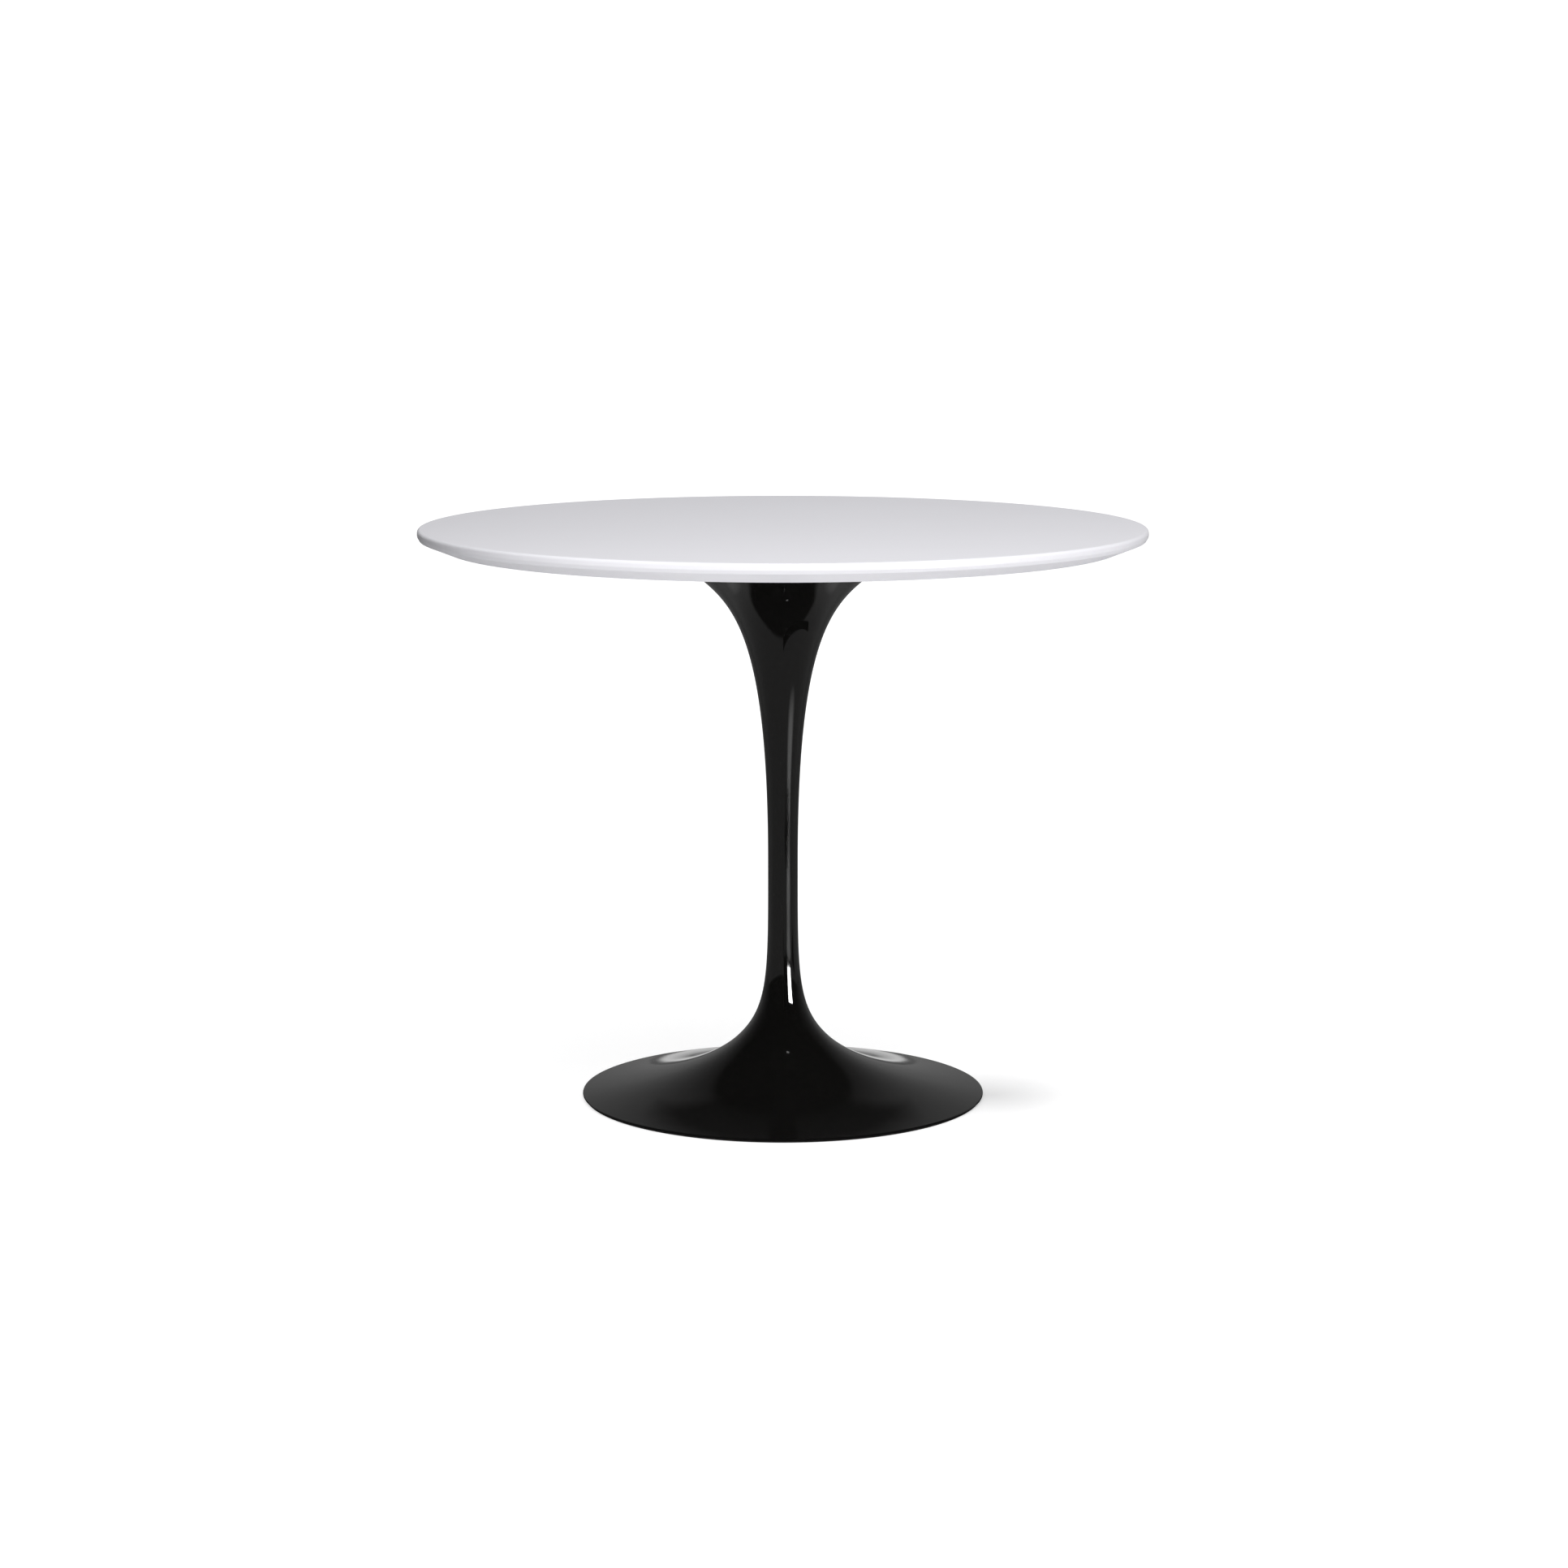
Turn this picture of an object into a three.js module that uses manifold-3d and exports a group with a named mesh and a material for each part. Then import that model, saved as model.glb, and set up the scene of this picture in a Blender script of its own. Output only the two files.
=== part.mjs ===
// Round pedestal table: a white lacquered board with an undercut edge on a one-piece flared
// casting. One long rod inside the column draws the board's steel plate down onto the casting.
// Millimetres, +Z up. The origin is on the floor, under the middle of the table.
import * as THREE from "three";
import { mergeVertices } from "three/addons/utils/BufferGeometryUtils.js";
import Module from "manifold-3d";

const wasm = await Module();
wasm.setup();

// ---- Driving dimensions ----
const TABLE_HEIGHT = 718;
const TOP_RADIUS = 450;
const TOP_THICKNESS = 25;
const FOOT_RADIUS = 252.5;
const MOUTH_RADIUS = 143.4; // the trumpet's mouth, under the board
const WAIST_RADIUS = 18.75; // the column at its narrowest
const WAIST_HEIGHT = 300;
const GAP = 0.3; // left between pieces that touch or are screwed, pressed or welded together
const SIDES = { board: 72, casting: 48, plate: 48, ring: 48, turned: 20, screw: 12, hole: 12 };

// Board
const UNDERSIDE = TABLE_HEIGHT - TOP_THICKNESS;
const EDGE_ROUND = 4;
const LIP_HEIGHT = 12.5; // from the top surface down to the bevel
const BEVEL_RUN = 34; // how far the bevel runs in under the board

// Casting
const FOOT_WALL = 4.2;
const COLUMN_WALL = 6;
const RIM_UNDERSIDE = 2.3;
const RIM_SEAT_RADIUS = 236; // inner edge of the flat seat that holds the floor ring
const FOOT_WEB = { bottom: 62, top: 80, bore: 9 };
const MOUTH_SHADOW_GAP = 0.6; // between the mouth and the board
const MOUTH_HEIGHT = UNDERSIDE - MOUTH_SHADOW_GAP;

// Steel plate under the board
const PLATE = { radius: 130, thickness: 5, recessClearance: 0.8 };
const PLATE_TOP = UNDERSIDE - GAP;
const PLATE_BOTTOM = PLATE_TOP - PLATE.thickness;
const HEAD = { top: PLATE_BOTTOM - GAP, thickness: 8.4, bore: 19.5 };
const HUB = { radius: 18, length: 22 };

// Draw rod, M16
const ROD_RADIUS = 8;
const ROD = { bottom: 34, top: PLATE_BOTTOM - 1.5 };
const ROD_WASHER = { radius: 20, thickness: 4 };
const SPRING_WASHER = { radius: 13, thickness: 3.6 };
const NUT = { acrossFlats: 24, height: 13 };

// Plate screws, M6 countersunk, each in a threaded insert in the board
const PLATE_SCREWS = { count: 6, circle: 95, turn: Math.PI / 6 };
const M6_RADIUS = 2.9;
const SCREW = { head: 6, coneHeight: 3.1, length: 15.6 };
const INSERT = { radius: 4.7, bore: 3.3, length: 12.7 };
const PINS = { count: 2, circle: 60, radius: 3, length: 10.5 };

// Iron ballast under the foot, M6 cap screws
const BALLAST = { inner: 40, outer: 155, bottom: 8, clearance: 5 };
const BALLAST_SCREWS = { count: 4, circle: 88, turn: 0 };
const CAP_SCREW = { head: 5, headHeight: 5.5, length: 36 };
const BALLAST_BOSS = { radius: 10, bottom: 34, holeTop: 46 };

// Levelling feet, M6, wound up clear of the floor
const LEVELLERS = { count: 4, circle: 172, turn: Math.PI / 4 };
const LEVELLER_BOSS = { radius: 9, bottom: 7.6, holeTop: 15.5 };
const PAD = { radius: 10, height: 3.5, lift: 0.8, socket: 3.6 };
const STUD = { foot: 3.1, collarFlats: 10, length: 12 };

// Floor ring
const RING = { inner: 238, outer: 250, height: 2 };

// ---- Materials ----
const paint = (color, roughness, metalness = 0) =>
  new THREE.MeshStandardMaterial({ color, roughness, metalness });
const WHITE_LACQUER = paint(0xe9e8ec, 0.35);
const BLACK_GLOSS = paint(0x0b0b0c, 0.12);
const ZINC_STEEL = paint(0xa9adb2, 0.38, 1);
const BRASS = paint(0xb08d4a, 0.4, 1);
const GREY_IRON = paint(0x2f3032, 0.7, 0.4);
const BLACK_RUBBER = paint(0x151515, 0.85);
const BLACK_NYLON = paint(0x1a1a1b, 0.55);

// ---- Shapes ----
const point = (r, z) => new THREE.Vector2(r, z);

// A solid of revolution about Z. The profile is a list of (radius, height) points, closed by itself
// or by the axis, in either direction.
function revolve(profile, around = SIDES.turned) {
  const onAxis = profile[0].x === 0 && profile[profile.length - 1].x === 0;
  const loop = onAxis ? [...profile] : [...profile, profile[0].clone()];
  if (THREE.ShapeUtils.isClockWise(profile)) loop.reverse();
  return new THREE.LatheGeometry(loop, around).rotateX(Math.PI / 2);
}

// A round bar along Z, or a hexagonal one with 6 sides.
function bar(radius, bottom, top, sides = SIDES.hole) {
  return new THREE.CylinderGeometry(radius, radius, top - bottom, sides)
    .rotateX(Math.PI / 2)
    .translate(0, 0, (bottom + top) / 2);
}

const hexagon = (acrossFlats, bottom, top) => bar(acrossFlats / Math.sqrt(3), bottom, top, 6);

function solidOf(geometry) {
  const bare = geometry.clone();
  bare.deleteAttribute("normal");
  bare.deleteAttribute("uv");
  const merged = mergeVertices(bare, 1e-3);
  const vertProperties = merged.getAttribute("position").array;
  const triVerts = new Uint32Array(merged.index.array);
  return new wasm.Manifold(new wasm.Mesh({ numProp: 3, vertProperties, triVerts }));
}

function geometryOf(solid) {
  const { vertProperties, triVerts } = solid.getMesh();
  const geometry = new THREE.BufferGeometry();
  geometry.setAttribute("position", new THREE.BufferAttribute(vertProperties, 3));
  geometry.setIndex(new THREE.BufferAttribute(triVerts, 1));
  geometry.computeVertexNormals();
  return geometry;
}

// Where the pieces of a ring pattern stand.
function placesOf({ count, circle, turn = 0 }) {
  return Array.from({ length: count }, (_, i) => {
    const angle = turn + (2 * Math.PI * i) / count;
    return new THREE.Vector3(circle * Math.cos(angle), circle * Math.sin(angle), 0);
  });
}

// The solid less, or plus, one copy of a geometry at each place of a pattern.
const drillAt = (solid, pattern, geometry) =>
  placesOf(pattern).reduce((s, p) => s.subtract(solidOf(geometry.clone().translate(p.x, p.y, 0))), solid);

function piece(name, geometry, material, height = 0) {
  const mesh = new THREE.Mesh(geometry, material);
  mesh.name = name;
  mesh.position.z = height;
  return mesh;
}

// One piece at each place of a pattern, numbered from 1.
function pieces(name, geometry, material, pattern, height = 0) {
  const group = new THREE.Group();
  placesOf(pattern).forEach((place, i) => {
    const mesh = piece(`${name}_${i + 1}`, geometry, material);
    mesh.position.set(place.x, place.y, height);
    group.add(mesh);
  });
  return group;
}

// ---- The casting's outline ----
const bezier = (...pairs) => new THREE.CubicBezierCurve(...pairs.map(([r, z]) => point(r, z)));

// From the foot's rim, in to the knee, up to the waist and out to the mouth.
const OUTLINE = [
  [bezier([FOOT_RADIUS - 0.6, 5], [150, 19], [87.8, 44.5], [57.8, 73.2]), 7],
  [bezier([57.8, 73.2], [17.3, 112], [WAIST_RADIUS, 154], [WAIST_RADIUS, WAIST_HEIGHT]), 7],
  [bezier([WAIST_RADIUS, WAIST_HEIGHT], [WAIST_RADIUS, 660], [89, 624], [MOUTH_RADIUS, MOUTH_HEIGHT]), 11],
];

function outlinePoints() {
  return OUTLINE.flatMap(([curve, steps], i) => curve.getPoints(steps).slice(i ? 1 : 0));
}

// The outline moved inwards by the wall's thickness, kept between two heights. Nothing inside is
// seen from close by, so it takes every second point.
function innerPoints(wall, low, high) {
  const outer = outlinePoints();
  const inner = outer.flatMap((p, i) => {
    if (i % 2) return [];
    const before = outer[Math.max(i - 1, 0)];
    const after = outer[Math.min(i + 1, outer.length - 1)];
    const along = after.clone().sub(before).normalize();
    return [point(p.x - wall * along.y, p.y + wall * along.x)];
  });
  const atHeight = (z) => {
    const i = inner.findIndex((p, k) => k > 0 && inner[k - 1].y <= z && p.y >= z);
    const share = (z - inner[i - 1].y) / (inner[i].y - inner[i - 1].y);
    return inner[i - 1].clone().lerp(inner[i], share);
  };
  const kept = inner.filter((p) => p.y > low + 1 && p.y < high - 1);
  return [atHeight(low), ...kept, atHeight(high)];
}

function pedestal() {
  const rim = [
    point(RIM_SEAT_RADIUS, RIM_UNDERSIDE),
    point(FOOT_RADIUS - 1.2, RIM_UNDERSIDE),
    point(FOOT_RADIUS, RIM_UNDERSIDE + 0.9),
    point(FOOT_RADIUS, RIM_UNDERSIDE + 2),
  ];
  const recess = PLATE.radius + PLATE.recessClearance;
  const headUnderside = HEAD.top - HEAD.thickness;
  const profile = [
    ...rim,
    ...outlinePoints(),
    point(recess, MOUTH_HEIGHT),
    point(recess, HEAD.top),
    point(HEAD.bore, HEAD.top),
    point(HEAD.bore, headUnderside),
    ...innerPoints(COLUMN_WALL, FOOT_WEB.top, headUnderside).reverse(),
    point(FOOT_WEB.bore, FOOT_WEB.top),
    point(FOOT_WEB.bore, FOOT_WEB.bottom),
    ...innerPoints(FOOT_WALL, RIM_UNDERSIDE + 1.2, FOOT_WEB.bottom)
      .reverse()
      .filter((p) => p.x < RIM_SEAT_RADIUS - 2),
    point(RIM_SEAT_RADIUS, RIM_UNDERSIDE + 1.2),
  ];
  const outside = [point(0, 0), point(FOOT_RADIUS - 2, 0), ...outlinePoints(), point(0, MOUTH_HEIGHT)];
  const filled = solidOf(revolve(outside, SIDES.casting));
  let solid = solidOf(revolve(profile, SIDES.casting));
  for (const [pattern, boss] of [[LEVELLERS, LEVELLER_BOSS], [BALLAST_SCREWS, BALLAST_BOSS]]) {
    for (const place of placesOf(pattern)) {
      const column = bar(boss.radius, boss.bottom, boss.holeTop + 20).translate(place.x, place.y, 0);
      solid = solid.add(solidOf(column).intersect(filled));
    }
    solid = drillAt(solid, pattern, bar(M6_RADIUS + 0.5, 0, boss.holeTop));
  }
  solid = drillAt(solid, PINS, bar(PINS.radius + 0.4, PLATE_TOP - PINS.length - 1.5, PLATE_TOP));
  return piece("pedestal", geometryOf(solid), BLACK_GLOSS);
}

function floorRing() {
  const chamfer = 0.5;
  const profile = [
    point(RING.inner, 0),
    point(RING.outer - chamfer, 0),
    point(RING.outer, chamfer),
    point(RING.outer, RING.height),
    point(RING.inner, RING.height),
  ];
  return piece("floor_ring", revolve(profile, SIDES.ring), BLACK_RUBBER);
}

// ---- Board and its plate ----
function topBoard() {
  const arc = new THREE.EllipseCurve(TOP_RADIUS - EDGE_ROUND, TABLE_HEIGHT - EDGE_ROUND, EDGE_ROUND, EDGE_ROUND,
    0, Math.PI / 2);
  const bevelTop = TABLE_HEIGHT - LIP_HEIGHT;
  const profile = [
    point(0, UNDERSIDE),
    point(TOP_RADIUS - BEVEL_RUN, UNDERSIDE),
    point(TOP_RADIUS - 3, bevelTop),
    point(TOP_RADIUS - 0.9, bevelTop + 1),
    point(TOP_RADIUS, bevelTop + 3),
    ...arc.getPoints(4),
    point(0, TABLE_HEIGHT),
  ];
  const hole = bar(INSERT.radius + 0.4, UNDERSIDE - 1, UNDERSIDE + INSERT.length + 1.3);
  const solid = drillAt(solidOf(revolve(profile, SIDES.board)), PLATE_SCREWS, hole);
  return piece("top_board", geometryOf(solid), WHITE_LACQUER);
}

function mountingPlate() {
  const { radius, thickness } = PLATE;
  const chamfer = 0.8;
  const profile = [
    point(0, 0),
    point(radius - chamfer, 0),
    point(radius, chamfer),
    point(radius, thickness),
    point(0, thickness),
  ];
  const countersink = revolve([
    point(0, -1),
    point(SCREW.head + 1.5, -1),
    point(M6_RADIUS + 0.5, SCREW.coneHeight + 0.2),
    point(M6_RADIUS + 0.5, thickness + 1),
    point(0, thickness + 1),
  ], SIDES.hole);
  let solid = drillAt(solidOf(revolve(profile, SIDES.plate)), PLATE_SCREWS, countersink);
  solid = drillAt(solid, PINS, bar(PINS.radius + 0.4, -1, thickness + 1));
  return piece("mounting_plate", geometryOf(solid), ZINC_STEEL, PLATE_BOTTOM);
}

// The threaded boss welded under the plate. It drops through the casting's head and takes the rod.
function mountingHub() {
  const { radius, length } = HUB;
  const bore = ROD_RADIUS + GAP;
  const profile = [
    point(bore, -length),
    point(radius - 1.5, -length),
    point(radius, 1.5 - length),
    point(radius, 0),
    point(bore, 0),
  ];
  return piece("mounting_hub", revolve(profile), ZINC_STEEL, PLATE_BOTTOM - GAP);
}

function plateScrews() {
  const profile = [
    point(0, 0),
    point(SCREW.head, 0),
    point(M6_RADIUS, SCREW.coneHeight),
    point(M6_RADIUS, SCREW.length - 1),
    point(M6_RADIUS - 1, SCREW.length),
    point(0, SCREW.length),
  ];
  const socket = solidOf(hexagon(4, -1, 2.2));
  const geometry = geometryOf(solidOf(revolve(profile, SIDES.screw)).subtract(socket));
  return pieces("plate_screw", geometry, ZINC_STEEL, PLATE_SCREWS, PLATE_BOTTOM + 0.2);
}

function inserts() {
  const { radius, bore, length } = INSERT;
  const profile = [point(bore, 0), point(radius, 0), point(radius, length), point(bore, length)];
  return pieces("insert", revolve(profile, SIDES.screw), BRASS, PLATE_SCREWS, UNDERSIDE + GAP);
}

function locatingPins() {
  const { radius, length } = PINS;
  const profile = [
    point(0, 0),
    point(radius - 0.6, 0),
    point(radius, 0.6),
    point(radius, length - 0.6),
    point(radius - 0.6, length),
    point(0, length),
  ];
  return pieces("locating_pin", revolve(profile, SIDES.screw), ZINC_STEEL, PINS, PLATE_TOP - length - GAP);
}

// ---- Rod and its nut, under the foot's web ----
function drawRod() {
  const chamfer = 1.2;
  const profile = [
    point(0, ROD.bottom),
    point(ROD_RADIUS - chamfer, ROD.bottom),
    point(ROD_RADIUS, ROD.bottom + chamfer),
    point(ROD_RADIUS, ROD.top - chamfer),
    point(ROD_RADIUS - chamfer, ROD.top),
    point(0, ROD.top),
  ];
  return piece("draw_rod", revolve(profile), ZINC_STEEL);
}

const flatRing = (outer, thickness) => {
  const bore = ROD_RADIUS + 0.5;
  return revolve([point(bore, 0), point(outer, 0), point(outer, thickness), point(bore, thickness)]);
};

const WASHER_Z = FOOT_WEB.bottom - GAP - ROD_WASHER.thickness;
const SPRING_Z = WASHER_Z - GAP - SPRING_WASHER.thickness;
const NUT_Z = SPRING_Z - GAP - NUT.height;

// The spring washer is a flat ring, cut through on one side.
function springWasher() {
  const slot = new THREE.BoxGeometry(SPRING_WASHER.radius, 1.6, 3 * SPRING_WASHER.thickness);
  slot.translate(SPRING_WASHER.radius, 0, SPRING_WASHER.thickness / 2);
  const solid = solidOf(flatRing(SPRING_WASHER.radius, SPRING_WASHER.thickness)).subtract(solidOf(slot));
  return piece("rod_spring_washer", geometryOf(solid), ZINC_STEEL, SPRING_Z);
}

function rodNut() {
  const flats = solidOf(hexagon(NUT.acrossFlats, 0, NUT.height));
  const corner = NUT.acrossFlats / Math.sqrt(3);
  const turned = solidOf(revolve([
    point(0, 0),
    point(corner - 1.6, 0),
    point(corner, 1.2),
    point(corner, NUT.height - 1.2),
    point(corner - 1.6, NUT.height),
    point(0, NUT.height),
  ]));
  const bore = solidOf(bar(ROD_RADIUS + GAP, -1, NUT.height + 1, SIDES.turned));
  return piece("rod_nut", geometryOf(flats.intersect(turned).subtract(bore)), ZINC_STEEL, NUT_Z);
}

// ---- Ballast ----
function ballastRing() {
  const under = innerPoints(FOOT_WALL + BALLAST.clearance, BALLAST.bottom + 3, FOOT_WEB.bottom - 9);
  const top = under.filter((p) => p.x < BALLAST.outer && p.x > BALLAST.inner);
  const profile = [
    point(BALLAST.inner, BALLAST.bottom),
    point(BALLAST.outer - 2, BALLAST.bottom),
    point(BALLAST.outer, BALLAST.bottom + 2),
    ...top,
    point(BALLAST.inner, top[top.length - 1].y),
  ];
  const seat = BALLAST.bottom + CAP_SCREW.headHeight + 0.8;
  let solid = solidOf(revolve(profile, SIDES.casting));
  for (const cutter of [
    bar(BALLAST_BOSS.radius + 1, BALLAST_BOSS.bottom - GAP, BALLAST_BOSS.bottom + 40, SIDES.turned),
    bar(M6_RADIUS + 0.7, 0, BALLAST_BOSS.bottom + 10),
    bar(CAP_SCREW.head + 2, 0, seat),
  ]) {
    solid = drillAt(solid, BALLAST_SCREWS, cutter);
  }
  return piece("ballast_ring", geometryOf(solid), GREY_IRON);
}

function ballastScrews() {
  const { head, headHeight, length } = CAP_SCREW;
  const profile = [
    point(0, 0),
    point(head - 0.6, 0),
    point(head, 0.6),
    point(head, headHeight),
    point(M6_RADIUS, headHeight),
    point(M6_RADIUS, length - 1),
    point(M6_RADIUS - 1, length),
    point(0, length),
  ];
  const socket = solidOf(hexagon(5, -1, 3));
  const geometry = geometryOf(solidOf(revolve(profile, SIDES.screw)).subtract(socket));
  return pieces("ballast_screw", geometry, ZINC_STEEL, BALLAST_SCREWS, BALLAST.bottom + 0.5);
}

// ---- Levelling feet ----
function levellerPads() {
  const { radius, height, socket } = PAD;
  const profile = [
    point(0, 0),
    point(radius - 0.8, 0),
    point(radius, 0.8),
    point(radius, height - 1),
    point(radius - 1.2, height),
    point(socket, height),
    point(socket, height - 1.8),
    point(0, height - 1.8),
  ];
  return pieces("leveller_pad", revolve(profile), BLACK_NYLON, LEVELLERS, PAD.lift);
}

// The stud stands in the pad's socket. Its hexagonal collar takes a thin spanner.
function levellerStuds() {
  const { foot, collarFlats, length } = STUD;
  const collarBottom = 1.8;
  const collarTop = 4.2;
  const body = solidOf(revolve([
    point(0, 0),
    point(foot, 0),
    point(foot, collarBottom + 0.5),
    point(M6_RADIUS, collarTop),
    point(M6_RADIUS, length - 0.8),
    point(M6_RADIUS - 0.8, length),
    point(0, length),
  ], SIDES.screw));
  const geometry = geometryOf(body.add(solidOf(hexagon(collarFlats, collarBottom, collarTop))));
  const height = PAD.lift + PAD.height - 1.8 + GAP;
  return pieces("leveller_stud", geometry, ZINC_STEEL, LEVELLERS, height);
}

const table = new THREE.Group();
table.add(
  topBoard(),
  inserts(),
  mountingPlate(),
  mountingHub(),
  plateScrews(),
  locatingPins(),
  pedestal(),
  floorRing(),
  drawRod(),
  piece("rod_washer", flatRing(ROD_WASHER.radius, ROD_WASHER.thickness), ZINC_STEEL, WASHER_Z),
  springWasher(),
  rodNut(),
  ballastRing(),
  ballastScrews(),
  levellerPads(),
  levellerStuds(),
);

export default table;
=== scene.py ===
"""Looks of a round pedestal table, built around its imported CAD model.

A white lacquered board with an undercut edge stands on a one-piece flared casting in gloss black. Every
piece is turned, threaded or drilled by a small Geometry Nodes tree and stands where its CAD node stands.
Lengths are in metres, +Z is up, and the origin is on the floor under the middle of the table.
"""

import logging
import math
from dataclasses import dataclass, field
from enum import Enum
from typing import Any, Mapping, NamedTuple, Optional, Sequence

import bmesh
import bpy
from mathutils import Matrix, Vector


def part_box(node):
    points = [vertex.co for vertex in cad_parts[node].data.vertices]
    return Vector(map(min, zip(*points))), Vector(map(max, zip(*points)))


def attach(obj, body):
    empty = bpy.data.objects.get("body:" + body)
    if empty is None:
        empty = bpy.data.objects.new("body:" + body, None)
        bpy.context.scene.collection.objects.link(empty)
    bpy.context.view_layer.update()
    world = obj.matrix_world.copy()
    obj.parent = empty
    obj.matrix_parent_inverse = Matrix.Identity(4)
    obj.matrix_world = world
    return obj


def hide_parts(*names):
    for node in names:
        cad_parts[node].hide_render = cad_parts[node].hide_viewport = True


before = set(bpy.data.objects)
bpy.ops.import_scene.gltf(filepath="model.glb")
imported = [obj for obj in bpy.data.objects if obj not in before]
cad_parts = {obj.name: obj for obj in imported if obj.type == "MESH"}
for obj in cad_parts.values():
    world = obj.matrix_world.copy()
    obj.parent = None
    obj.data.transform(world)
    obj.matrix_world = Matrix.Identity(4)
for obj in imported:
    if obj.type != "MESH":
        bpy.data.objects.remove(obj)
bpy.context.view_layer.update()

LOG = logging.getLogger("round_table")
MM = 0.001
TURN = 2 * math.pi
ROOT = "table"
Point = tuple[float, float]
Socket = bpy.types.NodeSocket


# ---------------------------------------------------------------------------------------------
# Outlines
# ---------------------------------------------------------------------------------------------


class Corner(NamedTuple):
    """A corner of a turned outline: its radius, height and rounding, in millimetres."""

    r: float
    z: float
    rounding: float = 0.0


def cubic(start: Point, handle_1: Point, handle_2: Point, end: Point, steps: int) -> list[Point]:
    """Points along a cubic curve, without its first one.

    Args:
        start: Where the curve begins.
        handle_1: Its first handle.
        handle_2: Its second handle.
        end: Where it ends.
        steps: How many points to make.

    Returns:
        The points, the last of which is the end.
    """
    found = []
    for i in range(1, steps + 1):
        t = i / steps
        shares = ((1 - t) ** 3, 3 * t * (1 - t) ** 2, 3 * t * t * (1 - t), t**3)
        r, z = (sum(w * p[k] for w, p in zip(shares, (start, handle_1, handle_2, end))) for k in (0, 1))
        found.append((r, z))
    return found


def offset(points: Sequence[Point], distance: float) -> list[Point]:
    """The points moved to the left of their direction of travel, by a wall's thickness."""
    moved = []
    for i, (r, z) in enumerate(points):
        before, after = points[max(i - 1, 0)], points[min(i + 1, len(points) - 1)]
        along = Vector((after[0] - before[0], after[1] - before[1])).normalized()
        moved.append((r - distance * along.y, z + distance * along.x))
    return moved


def rounded(corners: Sequence[Corner], closed: bool, steps: int = 6) -> list[Point]:
    """Rounds an outline's corners and supports its long straight runs.

    Args:
        corners: The corners in order.
        closed: Whether the last corner joins the first; otherwise both lie on the axis.
        steps: How many stretches an arc has.

    Returns:
        The outline's points in millimetres.
    """
    count = len(corners)
    arcs = []
    for i, corner in enumerate(corners):
        here = Vector(corner[:2])
        before, after = Vector(corners[i - 1][:2]) - here, Vector(corners[(i + 1) % count][:2]) - here
        if corner.rounding <= 0 or (not closed and i in (0, count - 1)):
            arcs.append([here])
            continue
        half = before.angle(after) / 2
        reach = min(corner.rounding / math.tan(half), 0.48 * before.length, 0.48 * after.length)
        radius = reach * math.tan(half)
        middle = here + (before.normalized() + after.normalized()).normalized() * radius / math.sin(half)
        first, last = here + before.normalized() * reach - middle, here + after.normalized() * reach - middle
        sweep = first.angle_signed(last)
        arcs.append([middle + turned(first, -sweep * k / steps) for k in range(steps + 1)])
    points: list[Point] = []
    for i, arc in enumerate(arcs):
        points += [tuple(p) for p in arc]
        if i == count - 1 and not closed:
            break
        points += supports(arc[-1], arcs[(i + 1) % count][0])
    return points


def turned(vector: Vector, angle: float) -> Vector:
    """A flat vector turned anticlockwise by an angle."""
    c, s = math.cos(angle), math.sin(angle)
    return Vector((c * vector.x - s * vector.y, s * vector.x + c * vector.y))


def supports(start: Vector, end: Vector, near: float = 0.4) -> list[Point]:
    """Two points close to the ends of a long straight run, which keep its shading flat."""
    run = end - start
    if run.length < 6 * near:
        return []
    step = run.normalized() * near
    return [tuple(start + step), tuple(end - step)]


# ---------------------------------------------------------------------------------------------
# Geometry Nodes
# ---------------------------------------------------------------------------------------------


class Kind(Enum):
    """The kinds of value that a tree takes."""

    LENGTH = "NodeSocketFloat"
    COUNT = "NodeSocketInt"
    OUTLINE = "NodeSocketObject"
    FINISH = "NodeSocketMaterial"
    SHAPE = "NodeSocketGeometry"


class Join(Enum):
    """How two shapes become one."""

    ADD = "UNION"
    CUT = "DIFFERENCE"
    KEEP_COMMON = "INTERSECT"


class Ramp(NamedTuple):
    """A change of a value: from first to last, while another runs from start to end."""

    start: float
    end: float
    first: float = 0.0
    last: float = 1.0


class Nodes:
    """A node tree under construction."""

    def __init__(self, tree: bpy.types.NodeTree) -> None:
        """Starts on an empty tree."""
        self.tree = tree

    def fill(self, node: bpy.types.Node, sockets: Mapping[Any, Any]) -> bpy.types.Node:
        """Sets or connects a node's inputs.

        Args:
            node: The node.
            sockets: A value or another node's output for each input, by name or place.

        Returns:
            The node.
        """
        for key, value in sockets.items():
            if isinstance(value, Socket):
                self.tree.links.new(value, node.inputs[key])
            else:
                node.inputs[key].default_value = value
        return node

    def add(self, kind: str, sockets: Mapping[Any, Any], **settings: Any) -> bpy.types.Node:
        """Adds a node.

        Args:
            kind: The node's type.
            sockets: A value or another node's output for each input, by name or place.
            settings: The node's own properties, which are set before its inputs.

        Returns:
            The node.
        """
        node = self.tree.nodes.new(kind)
        for key, value in settings.items():
            setattr(node, key, value)
        return self.fill(node, sockets)

    def math(self, operation: str, *values: Any) -> Socket:
        """The result of a Math node on up to three values."""
        return self.add("ShaderNodeMath", dict(enumerate(values)), operation=operation).outputs[0]

    def span(self, value: Socket, ramp: Ramp) -> Socket:
        """A value that follows the given one along a ramp, and stops at its ends."""
        return self.add("ShaderNodeMapRange", {"Value": value, "From Min": ramp.start, "From Max": ramp.end,
                                               "To Min": ramp.first, "To Max": ramp.last}).outputs[0]


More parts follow.
